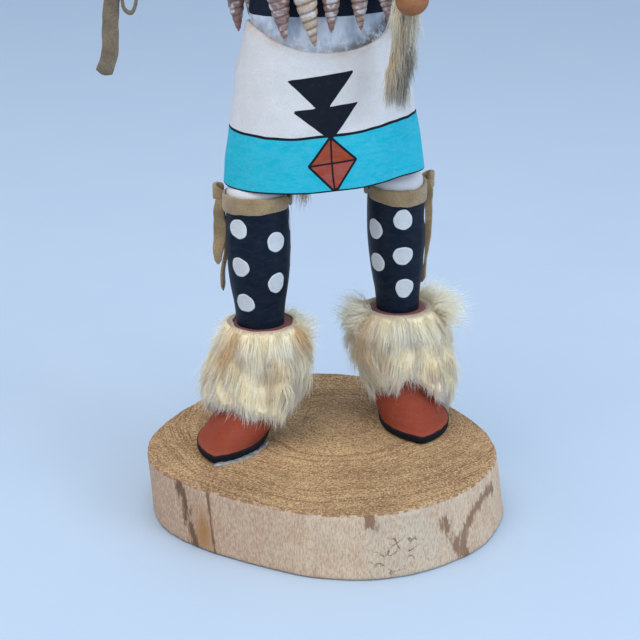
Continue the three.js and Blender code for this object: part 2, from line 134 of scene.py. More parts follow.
def put(kind, feeds, output=0, **settings):
    """Adds a shader node and returns the wire from one of its outputs."""
    node = bench["tree"].nodes.new("ShaderNode" + kind)
    for key, value in settings.items():
        setattr(node, key, value)
    connect(node, feeds)
    return Wire(node.outputs[output])


def maths(operation, *values):
    """One sum on values: ADD, MULTIPLY, ABSOLUTE and so on."""
    return put("Math", dict(enumerate(values)), operation=operation)


def plain_material(name):
    """A new material, put on the bench: returns it and its Principled BSDF."""
    material = bpy.data.materials.new(name)
    material.use_nodes = True
    bench["tree"] = material.node_tree
    return material, material.node_tree.nodes["Principled BSDF"]


def noise(vector, scale, detail=3.0, roughness=0.5, distortion=0.0):
    """Cloudy noise from 0 to 1, about 1 / scale metres across."""
    return put("TexNoise", {"Vector": vector, "Scale": scale, "Detail": detail,
                            "Roughness": roughness, "Distortion": distortion})


def spread(value, low, high, to_low=0.0, to_high=1.0):
    """Stretches a value so that low and high become to_low and to_high, and holds it there outside."""
    return put("MapRange", {"Value": value, "From Min": low, "From Max": high,
                            "To Min": to_low, "To Max": to_high})


def layers(under, *coats):
    """Coats laid over a colour one after another, each a share from 0 to 1 and its colour."""
    for share, over in coats:
        under = put("Mix", {0: share, 6: under, 7: over}, 2, data_type="RGBA")
    return under


def object_place(scale=None):
    """Where a point is on the piece, in metres, or that place with a scale for each axis."""
    place = put("TexCoord", {}, "Object")
    return put("Mapping", {"Vector": place, "Scale": scale}) if scale else place


floor_material, shader = plain_material("pale_floor")
paper = spread(noise(object_place(), 14.0), 0.3, 0.7)
connect(shader, {"Base Color": layers((177, 191, 204), (paper, (174, 189, 203))), "Roughness": 0.7})
floor_mesh.materials.append(floor_material)

# ---- the slice of branch
# A slice sawn across a branch of pale wood, the bark peeled off. The sawn top is honey brown end
# grain with dark pores; the peeled side shows upright fibres, a brown bark scar and old stains.

SLICE_THICKNESS = 27.0
SLICE_RADIUS = 68.9
SLICE_SWELLS = [(2, 2.1, 69), (3, 2.7, 151), (4, 1.4, 36), (5, 0.6, 11)]  # lobes, size, degrees
SLICE_LEAN = (-3.0, -1.0)
SLICE_FLARE = 1.0
SLICE_EDGE = 0.8
PITH = (0.004, 0.016, 0)
ROUND_PER_DEGREE = 1.2
# marks on the side, as lines through (millimetres round from the front, height)
STAIN_STEM = [(76, 19.5), (65, 18.7), (59.4, 15.5), (55.7, 11.4), (52.8, 7.4), (52.8, 4.0), (54.8, 0.0)]
STAIN_FORK = [(45.8, 17.5), (46.0, 14.2), (46.9, 10.5), (49.5, 6.6), (52.0, 3.1)]
BARK_SCAR = [(-65.6, 27.0), (-63.8, 20.0), (-63.2, 14.9), (-62.6, 8.6), (-61.0, 2.7), (-60.0, 0.0)]
SCAR_EDGE = 50.4  # the straight edge of the scar, as far round to the right


def ripple(points, size, seed, waves=28):
    """Soft random relief of about unit height: the sum of sine waves in random directions, each
    about size long, over the square root of their number."""
    rng = np.random.default_rng(seed)
    way = rng.normal(size=(waves, 3))
    way /= np.linalg.norm(way, axis=1, keepdims=True)
    way *= 2 * np.pi / size * rng.uniform(0.6, 1.5, (waves, 1))
    return np.sin(points @ way.T + rng.uniform(0, 2 * np.pi, waves)).sum(-1) / np.sqrt(waves)


def at(x, y, z):
    """Points from their three measures, which are spread over one grid."""
    return np.stack(np.broadcast_arrays(x, y, z), axis=-1)


def once_round(steps, start=-np.pi):
    """Evenly spaced angles for the columns of a grid."""
    return start + 2 * np.pi * np.arange(steps)[None] / steps


def columns(rows):
    """A list of rows as upright columns, one for each of a row's values."""
    return np.array(rows, dtype=float).T[:, :, None]


def bell(distance, width, power=2):
    """A soft bump: 1 in the middle, near 0 at twice the width."""
    return np.exp(-(distance / width) ** power)


def solid_mesh(name, points, quads, triangles, fields):
    """A mesh from corners in millimetres, its faces, and the values that it carries at its corners."""
    mesh = bpy.data.meshes.new(name)
    mesh.vertices.add(len(points))
    mesh.vertices.foreach_set("co", (points / 1000).astype(np.float32).ravel())
    corners = np.concatenate([quads.ravel(), triangles.ravel()]).astype(np.int32)
    mesh.loops.add(len(corners))
    mesh.loops.foreach_set("vertex_index", corners)
    starts = np.concatenate([np.arange(len(quads)) * 4, quads.size + np.arange(len(triangles)) * 3])
    mesh.polygons.add(len(starts))
    mesh.polygons.foreach_set("loop_start", starts.astype(np.int32))
    mesh.polygons.foreach_set("use_smooth", np.ones(len(starts), dtype=bool))
    for key, values in fields.items():
        kind, part = ("FLOAT_VECTOR", "vector") if values.ndim == 2 else ("FLOAT", "value")
        layer = mesh.attributes.new(key, kind, "POINT")
        layer.data.foreach_set(part, values.astype(np.float32).ravel())
    mesh.update(calc_edges=True)
    return mesh


def capped(values):
    """A grid's values in one row, and after them the means of its first and of its last row."""
    return np.concatenate([values.reshape(-1, *values.shape[2:]), values[:1].mean(1), values[-1:].mean(1)])


def skin(name, *grids, **fields):
    """Closed skins over grids of points: rows lie one above the other, columns run once round,
    counter-clockwise from above, and a fan round the middle closes each end."""
    points, quads, fans, count = [], [], [], 0
    for grid in grids:
        rows, around = grid.shape[:2]
        corner = count + np.arange(rows * around).reshape(rows, around)
        beside = np.roll(corner, -1, axis=1)
        quads.append(np.stack([corner[:-1], beside[:-1], beside[1:], corner[1:]], axis=-1).reshape(-1, 4))
        count += rows * around + 2
        for middle, first, second in ((count - 2, beside[0], corner[0]), (count - 1, corner[-1], beside[-1])):
            fans.append(np.stack([np.full(around, middle), first, second], axis=-1))
        points.append(capped(grid))
    shape = grids[0].shape[:2]
    kept = {key: capped(np.stack([np.broadcast_to(v, shape) for v in values], axis=-1)
                        if isinstance(values, tuple) else np.broadcast_to(values, shape))
            for key, values in fields.items()}
    return solid_mesh(name, np.concatenate(points), np.concatenate(quads), np.concatenate(fans), kept)


def settle(name, mesh, material, slot, *nodes):
    """Puts a finished piece in the scene: its finish, its body and the nodes it replaces, which are hidden.
    The slot is not used.
    """
    thing = bpy.data.objects.new(name, mesh)
    mesh.materials.append(material)
    bpy.context.collection.objects.link(thing)
    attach(thing, "root")
    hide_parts(*nodes)


def carried(name):
    """A value that the mesh carries at its corners."""
    return put("Attribute", {}, "Fac", attribute_name=name)


def carried_three(name):
    """Three values that the mesh carries together."""
    vector = put("Attribute", {}, "Vector", attribute_name=name)
    return [put("SeparateXYZ", {"Vector": vector}, part) for part in "XYZ"]


def bump(height, strength, distance):
    """Fine relief, as a normal."""
    return put("Bump", {"Height": height, "Strength": strength, "Distance": distance})


def side_distance(x, z, start, end):
    """Distance to the straight piece between two points."""
    (x0, z0), (dx, dz) = start, np.subtract(end, start)
    t = np.clip(((x - x0) * dx + (z - z0) * dz) / (dx * dx + dz * dz), 0, 1)
    return np.hypot(x - x0 - t * dx, z - z0 - t * dz)


def line_distance(x, z, path):
    """Distance to the nearest of the straight pieces between a path's points."""
    return np.min([side_distance(x, z, *ends) for ends in zip(path, path[1:])], axis=0)


def slice_mesh():
    """Radius r(a) plus swells, carried up the side; each row is a share of that radius, an inset
    and a height. Ridges on the side are soft waves stretched along the trunk."""
    top = SLICE_THICKNESS
    rows = [(0.3, 0, 0), (0.7, 0, 0), (0.96, 0, 0), (1, SLICE_EDGE, 0), (1, 0.3, 0.3)]
    rows += [(1, 0, z) for z in np.linspace(SLICE_EDGE, top - SLICE_EDGE, 26)]
    rows += [(1, 0.12, top - 0.4), (1, 0.4, top - 0.12), (1, SLICE_EDGE, top), (0.985, 0, top)]
    rows += [(share, 0, top) for share in np.linspace(0.96, 0.02, 44)]
    share, inset, z = columns(rows)
    a = once_round(320, 0)
    swells = [size * np.cos(lobes * a - np.radians(phase)) for lobes, size, phase in SLICE_SWELLS]
    lean = z / top
    r = share * (SLICE_RADIUS + sum(swells) + SLICE_FLARE * (1 - lean) - inset)
    grid = at(r * np.sin(a) + SLICE_LEAN[0] * lean, -r * np.cos(a) + SLICE_LEAN[1] * lean, z)
    reach = np.hypot(grid[..., 0], grid[..., 1])
    on_side = (share == 1) & (inset < SLICE_EDGE)
    push = on_side * (0.10 * ripple(grid * (1, 1, 0.07), 2.6, 11) + 0.22 * ripple(grid * (1, 1, 0.4), 17, 12))
    push -= on_side * bell(top - z, 1.2) * 0.35 * np.clip(ripple(grid, 5, 13), 0, 1)
    grid += at(push * np.sin(a), -push * np.cos(a), 0)
    grid[..., 2] += ((share < 1) & (z > 1)) * 0.05 * ripple(grid * (1, 0.35, 1), 3, 14)
    degrees = np.degrees((a + np.pi) % (2 * np.pi) - np.pi)
    round_side = degrees * ROUND_PER_DEGREE + 0 * z
    stain = np.minimum(line_distance(round_side, z, STAIN_STEM) - 0.6,
                       line_distance(round_side, z, STAIN_FORK) - 0.5)
    gold = bell(degrees + 46.0, 3.6) * bell(z - 8, 11)
    specks = bell(degrees - 10.5, 5) * np.clip((z - 15) / 6, 0, 1)
    cracked = bell(degrees - 21, 8, 4) * bell(z - 10, 9, 4)
    return skin("base_slice_wood", grid, sawn=((share < 1) | (inset > 0.3)) & (z > 1),
                stains=(stain, line_distance(round_side, z, BARK_SCAR), gold),
                weathering=(specks, cracked, bell(degrees - 24, 22)),
                # painted shade: the side grows darker and redder towards the doll's right, the viewer's left
                unrolled=(round_side, z, reach), ruddy=0.5 - 0.5 * np.sin(np.radians(degrees)))


wood, shader = plain_material("sliced_branch")
place = object_place()
upright = object_place((1.0, 1.0, 0.28))
stain, scar, gold = carried_three("stains")
specks, cracked, greyed = carried_three("weathering")
round_side, height, reach = carried_three("unrolled")

# the sawn top: growth rings round the pith, fine lines near the bark, pores and light fibres
from_pith = put("VectorMath", {0: put("Mapping", {"Vector": place, "Location": [-part for part in PITH]}),
                               1: (1.0, 1.0, 0.0)}, operation="MULTIPLY")
across = put("VectorMath", {0: from_pith}, "Value", operation="LENGTH") + noise(place, 26.0, 2.0) * 0.016
ring, line = (put("TexNoise", {"W": across, "Scale": scale, "Detail": detail, "Roughness": rough},
                  noise_dimensions="1D") for scale, detail, rough in ((330.0, 3.0, 0.62), (1100.0, 2.0, 0.5)))
pores = noise(place, 1500.0, 2.0, 0.75)
lights = noise(place, 1050.0, 2.0, 0.7, 0.4)
outer = spread(reach, 22.0, 58.0, 0.25, 0.9) * spread(noise(place, 45.0, 2.0), 0.38, 0.6, 0.25, 1.0)
top = layers(
    (200, 164, 117),
    (spread(noise(place, 34.0, 4.0, 0.6), 0.35, 0.65), (162, 127, 91)),
    (spread(ring, 0.50, 0.66, 0.0, 0.62), (129, 92, 58)),
    (spread(line, 0.48, 0.58) * outer, (121, 89, 58)),
    (spread(lights, 0.50, 0.62, 0.0, 0.58), (214, 181, 135)),
    (spread(pores, 0.48, 0.58, 0.0, 0.72), (94, 67, 44)))

# the peeled side: fibres and blushes, painted shade round the doll's right side, then the marks, each with a
# frayed edge, and a rough top rim
fibre = noise(upright, 1900.0, 3.0, 0.65)
broad = noise(upright, 210.0, 3.0, 0.6)
fray = spread(noise(upright, 520.0, 4.0, 0.7), 0.3, 0.7, -2.2, 2.2)
edge = abs(round_side + fray * 0.3 + SCAR_EDGE)
warped = put("VectorMath", {0: put("TexNoise", {"Vector": place, "Scale": 330.0}, "Color"),
                            1: (0.004, 0.004, 0.004), 2: place}, operation="MULTIPLY_ADD")
cracks = put("TexVoronoi", {"Vector": warped, "Scale": 150.0}, feature="DISTANCE_TO_EDGE")
torn = cracked * spread(noise(place, 210.0, 2.0), 0.47, 0.54)
peeled = layers(
    (212, 186, 156),
    (spread(noise(place, 75.0, 3.0, 0.6), 0.35, 0.65), (204, 169, 138)),
    # painted shade on the doll's right side, darker and redder
    (spread(carried("ruddy"), 0.55, 0.95, 0.0, 0.75), (181, 143, 119)),
    (spread(broad, 0.42, 0.68, 0.0, 0.5), (185, 152, 121)),
    (spread(greyed * noise(place, 120.0), 0.2, 0.5, 0.0, 0.65), (196, 178, 152)),
    (spread(fibre, 0.50, 0.64, 0.0, 0.45), (150, 117, 91)),
    (spread(fibre, 0.48, 0.38, 0.0, 0.4), (223, 206, 181)),
    (gold * spread(broad, 0.35, 0.55, 0.4, 1.0), (169, 119, 73)),
    (spread(stain + fray, 0.6, 2.2, 0.8, 0.0), (123, 89, 62)),
    (spread(scar + fray, 0.9, 3.2, 0.85, 0.0), (100, 67, 46)),
    (spread(edge, 0.25, 0.9, 0.85, 0.0), (108, 73, 52)),
    (spread(specks * spread(broad, 0.5, 0.6), 0.18, 0.5, 0.0, 0.8), (127, 89, 64)),
    (spread(cracks, 0.016, 0.045, 0.9, 0.0) * torn, (89, 71, 58)),
    (spread(height, 25.7, 26.4) * spread(noise(place, 420.0), 0.42, 0.56, 0.15, 0.9), (129, 94, 62)))
sawn = carried("sawn")
relief = put("Mix", {0: sawn, 2: fibre, 3: lights - pores})
connect(shader, {"Base Color": layers(peeled, (sawn, top)), "Normal": bump(relief, 0.6, 0.0004),
                 "Roughness": 0.85, "Specular IOR Level": 0.15})
settle("base_slice_wood", slice_mesh(), wood, "raw_wood", "base_slice")

# ---- torso and kilt
# One block of soft root wood carved as torso and kilt: a flared wrap with a U-shaped rim in front,
# white ground, a turquoise border between two hand-drawn black lines, stepped triangles and a diamond.

DOLL_PLACE = (-1.9, 15.3)
DOLL_TURN = np.radians(12)
BODY_SQUARENESS = 2.2
KILT_STATIONS = [  # height, half width, half depth, sideways lean
    (130.5, 40.3, 23.0, -0.5), (143, 38.8, 22.8, -0.7), (157, 36.5, 22.2, -1.0),
    (175, 33.3, 20.6, -1.6), (193.5, 28.1, 18.3, -3.0)]
TORSO_STATIONS = [
    (197.5, 26.2, 15.6, -3.7), (208, 25.0, 15.4, -3.7), (222, 26.8, 16.6, -3.5),
    (236, 29.8, 17.0, -3.2), (245, 27.5, 15.0, -3.0), (250, 18.0, 11.8, -3.0),
    (253, 11.5, 10.4, -3.0), (262, 10.4, 10.4, -3.0)]
HEM_HEIGHTS = [  # degrees round from the front, height
    (-180, 132.0), (-90, 131.4), (-45, 131.0), (-27, 131.0), (-13, 131.2), (0, 131.9), (13, 132.5),
    (27, 133.8), (41, 135.0), (70, 134.8), (110, 133.6), (180, 132.0)]
LINE_HEIGHTS = [
    (-180, 155.5), (-80, 153.6), (-47, 152.8), (-28, 152.3), (-13, 152.9), (0, 153.6), (12, 154.4),
    (24, 155.6), (45, 157.3), (80, 158.2), (125, 157.0), (180, 155.5)]
KILT_BACK_Z = 193.5
KILT_DIP = 9.5
RIM_STEP = 2.0
WAIST_Z = 197.0
NECK_Z = 262.0
# painted motifs, as corners (sideways, height) on the front
UPPER_TRIANGLE = [(-19.1, 174.2), (6.3, 177.6), (-4.6, 163.0), (-7.8, 163.0)]
LOWER_TRIANGLE = [(-17.6, 162.8), (7.7, 165.8), (-2.0, 152.6), (-4.4, 152.6)]
DIAMOND = [(-3.3, 153.0), (-11.6, 141.9), (-1.4, 131.6), (6.6, 144.2)]
UPRIGHT_BAR = [(-3.0, 152), (-1.5, 132)]
LEVEL_BAR = [(-10.8, 142.05), (5.9, 144.0)]
FAR_OFF = 30.0


def stand(points):
    """From the doll's own frame to the slice: a turn about the upright axis, then a shift."""
    x, y, z = np.moveaxis(points, -1, 0)
    return at(x * np.cos(DOLL_TURN) - y * np.sin(DOLL_TURN) + DOLL_PLACE[0],
              x * np.sin(DOLL_TURN) + y * np.cos(DOLL_TURN) + DOLL_PLACE[1], z)


def smooth_through(rows):
    """A cubic curve through rows of (position, value, ...), each slope that of its two neighbours:
    returns a function from positions to a list of values."""
    table = np.array(rows, dtype=float)
    places, values = table[:, 0], table[:, 1:]
    last = len(rows) - 1
    before, after = np.maximum(np.arange(last + 1) - 1, 0), np.minimum(np.arange(last + 1) + 1, last)
    slopes = (values[after] - values[before]) / (places[after] - places[before])[:, None]

    def read(position):
        position = np.asarray(position, dtype=float)
        i = np.clip(np.searchsorted(places, position) - 1, 0, last - 1)
        span = (places[i + 1] - places[i])[..., None]
        t = np.clip((position[..., None] - places[i][..., None]) / span, 0, 1)
        value = values[i] + (values[i + 1] - values[i]) * t * t * (3 - 2 * t)
        value = value + span * (t * (1 - t) ** 2 * slopes[i] - t * t * (1 - t) * slopes[i + 1])
        return np.moveaxis(value, -1, 0)
    return read


def oval(half_width, half_depth, angle, power=2.0):
    """A point of an oval at an angle from the front: the power 2 is an ellipse, more is squarer."""
    sine, cosine = np.sin(angle), np.cos(angle)
    return (half_width * np.sign(sine) * np.abs(sine) ** (2 / power),
            -half_depth * np.sign(cosine) * np.abs(cosine) ** (2 / power))


def outward(angle):
    """The level direction at an angle from the front, towards the doll's left."""
    return at(np.sin(angle), -np.cos(angle), 0.0)


def unit(vectors):
    """The same directions, each of length 1."""
    return vectors / np.linalg.norm(vectors, axis=-1, keepdims=True)


def outline_distance(x, z, corners):
    """Distance to a closed outline, negative inside: the nearest of its sides, signed by crossings."""
    inside = np.zeros(np.shape(x), dtype=bool)
    for (x0, z0), (x1, z1) in zip(corners, corners[1:] + corners[:1]):
        inside ^= ((z0 > z) != (z1 > z)) & (x < x0 + (x1 - x0) * (z - z0) / (z1 - z0 + 1e-12))
    return np.where(inside, -1, 1) * line_distance(x, z, corners + corners[:1])


def off_line(x, z, ends):
    """Signed distance from the straight line through two points."""
    (x0, z0), (dx, dz) = ends[0], np.subtract(ends[1], ends[0])
    return ((x - x0) * dz - (z - z0) * dx) / np.hypot(dx, dz)


kilt_at = smooth_through(KILT_STATIONS)
torso_at = smooth_through(TORSO_STATIONS)
hem_at = smooth_through(HEM_HEIGHTS)
line_at = smooth_through(LINE_HEIGHTS)


def body_mesh():
    """Oval sections one above the other: up the kilt from hem to rim, over the rounded rim and down
    to the belly set back inside it, then up the torso. Painted edges are kept as distances."""
    a = once_round(220)
    hem = hem_at(np.degrees(a))[0]
    rim = KILT_BACK_Z - KILT_DIP * np.clip(np.cos(a), 0, 1) ** 2
    rows, belly = [], []

    def ring(section, z, grow, inside):
        half_width, half_depth, lean = section
        x, y = oval(half_width + grow, half_depth + grow, a, BODY_SQUARENESS)
        rows.append(at(x + lean, y, z)[0])
        belly.append(inside)

    for up, grow in ((0, -9.0), (0, -0.7), (0.1, -0.3), (0.4, -0.06)):
        ring(kilt_at(hem + up), hem + up, grow, 0.0)
    for t in np.linspace(0, 1, 62):
        z = hem + 0.8 + (rim - 0.9 - hem - 0.8) * t
        ring(kilt_at(z), z, 0.0, 0.0)
    for up, grow in ((-0.4, -0.08), (-0.05, -0.3), (0.12, -0.7), (0.1, -1.2), (-0.15, -1.7),
                     (-0.8, -RIM_STEP)):
        ring(kilt_at(rim + up), rim + up, grow, 0.3 if grow < -0.5 else 0.0)
    for t in np.linspace(0, 1, 12)[1:]:
        z = rim - 0.8 + (WAIST_Z + 1.5 - rim + 0.8) * t
        ease = t * t * (3 - 2 * t)
        ring(kilt_at(z) + (torso_at(z) - kilt_at(z)) * ease, z, -RIM_STEP * (1 - ease), 1.0)
    for z in np.linspace(WAIST_Z + 2.6, NECK_Z, 46):
        ring(torso_at(z + 0 * a), z, 0.0, 1.0)
    grid = np.array(rows)
    x, z = grid[..., 0], grid[..., 2]
    uneven = 0.14 * ripple(grid, 16, 21) + 0.04 * ripple(grid * (1, 1, 0.4), 5, 22)
    uneven *= 0.3 + 0.7 * np.clip((z - 134) / 4, 0, 1)
    grid[..., :2] += unit(grid[..., :2]) * uneven[..., None]
    front = grid[..., 1] < 0
    shake = 0.10 * ripple(grid, 7, 23)
    black = np.minimum(outline_distance(x, z, UPPER_TRIANGLE), outline_distance(x, z, LOWER_TRIANGLE))
    black, gem = (np.where(front, distance + 0.4 * shake, FAR_OFF)
                  for distance in (black, outline_distance(x, z, DIAMOND)))
    upright_bar = off_line(x + 0.5 * np.sin((z - 131) / 7), z, UPRIGHT_BAR)
    line = z - line_at(np.degrees(a))[0] + shake
    return skin("torso_and_kilt", stand(grid), bands=(line, z - hem + shake * 0.4, z - WAIST_Z + shake),
                motif=(black, gem, z - rim),
                bars=(upright_bar + shake * 0.5, off_line(x, z, LEVEL_BAR) + shake * 0.5,
                      np.array(belly)[:, None]))


def effect(name, inputs, outputs):
    """A shader node group with named inputs and outputs, put on the bench: returns it, a wire from
    each of its inputs, and the node that its outputs are connected to."""
    group = bpy.data.node_groups.new(name, "ShaderNodeTree")
    for way, sockets in (("INPUT", inputs), ("OUTPUT", outputs)):
        for key, kind in sockets.items():
            group.interface.new_socket(key, in_out=way, socket_type="NodeSocket" + kind)
    bench["tree"] = group
    source = group.nodes.new("NodeGroupInput")
    return group, [Wire(source.outputs[key]) for key in inputs], group.nodes.new("NodeGroupOutput")


def use_effect(group, feeds, *outputs):
    """Places an effect in the material on the bench: returns the wires from the outputs named."""
    node = bench["tree"].nodes.new("ShaderNodeGroup")
    node.node_tree = group
    connect(node, feeds)
    return [Wire(node.outputs[key]) for key in outputs]


# Brushed poster paint: streaks of the brush lighten and darken it, fine wood grain shows through.
brushed_paint, (colour, streaks, turn, worn, wear), effect_end = effect(
    "brushed_paint",
    {"Colour": "Color", "Streaks": "Float", "Turn": "Vector", "Worn": "Color", "Wear": "Float"},
    {"Colour": "Color", "Height": "Float", "Roughness": "Float"})
place = object_place()
along = put("Mapping", {"Vector": place, "Rotation": turn, "Scale": (1.0, 1.0, 3.0)})
stroke = noise(along, 170.0, 4.0, 0.62, 0.9)
grain = noise(place, 1700.0, 2.0, 0.5)
light = spread(stroke, 0.3, 0.7, -1.0, 1.0) * streaks
value = light * 0.55 + 1.0 + spread(noise(place, 60.0, 3.0, 0.55), 0.3, 0.7, -0.045, 0.045)
value = value + spread(grain, 0.3, 0.7, -0.05, 0.05)
toned = put("HueSaturation", {"Color": colour, "Value": value, "Saturation": 1.0 - light})
rubbed = spread(noise(place, 420.0, 5.0, 0.7), 0.56, 0.7) * wear
connect(effect_end, {"Colour": layers(toned, (rubbed, worn)), "Height": stroke * 0.6 + grain * 0.5,
                     "Roughness": spread(stroke, 0.3, 0.7, 0.62, 0.8)})

KILT_WHITE = (204, 200, 196)
PAINT_BLACK = (17, 22, 31)
TURQUOISE = (42, 169, 185)
TURQUOISE_WORN = (100, 187, 195)
RUST = (146, 64, 40)
RUST_WORN = (169, 100, 85)


def within(distance, half, soft=0.06):
    """1 where a distance is less than half, 0 beyond, with a soft edge."""
    return spread(distance, half - soft, half + soft, 1.0, 0.0)


def paint(colour, streaks, worn=None, wear=0.0, turn=(0.0, 0.0, 0.0)):
    """The brushed paint effect with its own colour and values: its colour, height and roughness."""
    return use_effect(brushed_paint, {"Colour": colour, "Streaks": streaks, "Turn": turn,
                                      "Worn": worn or colour, "Wear": wear}, "Colour", "Height", "Roughness")


kilt_paint, shader = plain_material("kilt_paint")
place = object_place()
line, hem, waist = carried_three("bands")
black, gem, rim = carried_three("motif")
upright_bar, level_bar, inside = carried_three("bars")
ground, _, ground_rough = paint(KILT_WHITE, 0.05, (198, 181, 162), 0.35)
border, border_height, _ = paint(TURQUOISE, 0.045, TURQUOISE_WORN, 0.3, (0.3, 0.25, 0.0))
jewel = layers(RUST, (spread(level_bar, -0.5, 0.5), (154, 73, 60)))
rim_stain = within(abs(rim), 1.5, 1.5) * spread(noise(place, 130.0, 4.0, 0.6), 0.42, 0.62)
crossed = within(maths("MINIMUM", abs(upright_bar), abs(level_bar)), 0.36) * within(gem, 0.0)
drawn = crossed
for stroke in (within(abs(gem), 0.46), within(abs(line), 0.52), within(hem, 0.75), within(black, 0.0)):
    drawn = maths("MAXIMUM", drawn, stroke)
wash = spread(noise(object_place((1.0, 1.0, 0.4)), 170.0, 4.0, 0.65), 0.4, 0.62)
sideways = spread(put("SeparateXYZ", {"Vector": place}, "X"), -0.004, 0.016, 0.35, 1.0)
# darker grey-brown blotches low on the belly, just above the rim, mostly on the doll's left side
darker_above_rim = sideways * spread(rim, 1.0, 6.0, 1.0, 0.0) * spread(noise(place, 260.0, 4.0, 0.7), 0.38, 0.54)
belly = layers((214, 218, 223), (wash, (169, 178, 191)), (darker_above_rim, (94, 87, 77)),
               (spread(waist, -0.1, 0.1), paint((23, 30, 44), 0.2)[0]))
coat = layers(
    ground, (rim_stain * 0.5, (183, 154, 127)), (within(line, 0.0), border),
    (within(gem, 0.0), paint(jewel, 0.08, RUST_WORN, 0.25)[0]),
    (drawn, paint(PAINT_BLACK, 0.2, (58, 62, 69), 0.15)[0]), (spread(inside, 0.45, 0.6), belly))
connect(shader, {"Base Color": coat, "Normal": bump(border_height + drawn * 0.8, 0.3, 0.0002),
                 "Roughness": ground_rough, "Specular IOR Level": 0.14})
settle("torso_and_kilt", body_mesh(), kilt_paint, "painted_figure", "figure")

# ---- legs
# Turned and whittled from the same block, painted blue-black with white dots that were dabbed on
# thickly, so that each has a raised edge that carries a painted highlight. The thighs above the garters are
# left white.

ANKLE_Z = 75.0
KNEE_Z = 124.0
LEG_STATIONS = [  # height, radius
    (74, 9.4), (83, 10.1), (93, 11.7), (105, 12.6), (115, 12.6), (124, 12.2), (130, 11.8), (140, 9.0)]
LEGS = {  # dots as (degrees round, height)
    "right": {"thickness": 1.0, "ankle": (-27.8, -3.8), "knee": (-28.3, -3.7), "boot_top": 1.0,
              "toe": (-51.5, -32.2), "foot_turn": np.radians(-26.0), "foot_width": 27.0,
              "knot_angle": np.radians(-120.0), "sag": 0.0,
              "dots": [(-48, 116.2), (-46, 100.9), (-43, 85.7), (24, 111.1), (26, 94.1), (81, 116.5),
                       (84, 102.5), (98, 88), (165, 111), (168, 95), (-118, 111), (-116, 97)]},
    "left": {"thickness": 0.92, "ankle": (30.6, 2.7), "knee": (29.0, 3.0), "boot_top": 0.86,
             "toe": (33.1, -31.1), "foot_turn": np.radians(-6.3), "foot_width": 28.5,
             "knot_angle": np.radians(104.0), "sag": 2.0,
             "dots": [(0, 114.9), (-1, 100.0), (4, 85.9), (-61, 110.2), (-60, 96.3), (78, 114),
                      (80, 97), (150, 108), (152, 92), (-135, 115), (-132, 100), (-130, 86)]},
}
DOT_RADIUS = 4.0
LEG_BLACK = (12, 23, 37)
LEG_WORN = (42, 50, 67)
DOT_WHITE = (196, 197, 196)

leg_radius = smooth_through(LEG_STATIONS)


def leg_middle(leg, z):
    """The middle of a leg at a height: a straight line from ankle to knee and on."""
    t = (z - ANKLE_Z) / (KNEE_Z - ANKLE_Z)
    return [start + (end - start) * t for start, end in zip(leg["ankle"], leg["knee"])]


def leg_mesh(side, leg, seed):
    """A round limb of changing radius with soft whittled facets; dots are kept as the distance, on
    the unrolled leg, to the edge of the nearest uneven disc, and stand a little proud."""
    z = np.linspace(72, 134.5, 80)[:, None]
    a = once_round(96)
    r = leg_radius(z)[0] * leg["thickness"] + 0 * a
    r = r + 0.14 * ripple((outward(a) * r[..., None] + at(0, 0, z)) * (1, 1, 0.35), 9, seed)
    r = r - 0.5 * np.clip(z - 130, 0, 9)
    dot = np.full(r.shape, FAR_OFF)
    rng = np.random.default_rng(seed)
    for angle, height in leg["dots"]:
        across = ((a - np.radians(angle) + np.pi) % (2 * np.pi) - np.pi) * r
        way = np.arctan2(z - height, across)
        uneven = 1 + rng.uniform(0.02, 0.06) * np.cos(2 * way + rng.uniform(0, 6))
        uneven += rng.uniform(0.02, 0.05) * np.cos(3 * way + rng.uniform(0, 6))
        uneven += 0.015 * np.cos(7 * way + rng.uniform(0, 6))
        dot = np.minimum(dot, np.hypot(across, z - height) - DOT_RADIUS * uneven)
    r = r + 0.14 / (1 + np.exp(dot / 0.25))
    grid = at(*leg_middle(leg, z), z) + outward(a) * r[..., None]
    return skin(f"{side}_leg", stand(grid), dot=dot, height=z)


leg_paint, shader = plain_material("leg_paint")
night, night_height, _ = paint(LEG_BLACK, 0.35, LEG_WORN, 0.15, (0.0, 1.5708, 0.0))
dot = carried("dot")
ridge_and_highlight = within(abs(dot + 0.55), 0.18, 0.2)
# the raised edge in each dot: real relief in the bump, and a painted highlight in the colour
dab = layers(paint(DOT_WHITE, 0.06, (183, 175, 166), 0.5)[0], (ridge_and_highlight * 0.35, (235, 235, 231)))
coat = layers(night, (within(dot, 0.0), dab),
              (spread(carried("height"), 125.0, 125.2), paint(KILT_WHITE, 0.05)[0]))
connect(shader, {"Base Color": coat, "Normal": bump(night_height + ridge_and_highlight, 0.45, 0.0003),
                 "Roughness": 0.5, "Specular IOR Level": 0.14})
for number, (side, leg) in enumerate(LEGS.items()):
    settle(f"{side}_leg", leg_mesh(side, leg, 31 + number), leg_paint, "painted_figure", "figure")

# ---- moccasin boots
# The carved feet, painted rust red, drawn in from a pointed sole to a round shaft with a flat top
# round the ankle. The edge of the sole is painted black and the foot is glued to the slice.

SOLE_Z = 27.3
SOLE_TOP_Z = 30.6
FOOT_LENGTH = 50.0
BOOT_TOP_RADIUS = 13.1
INSTEP_POWER = 4.0


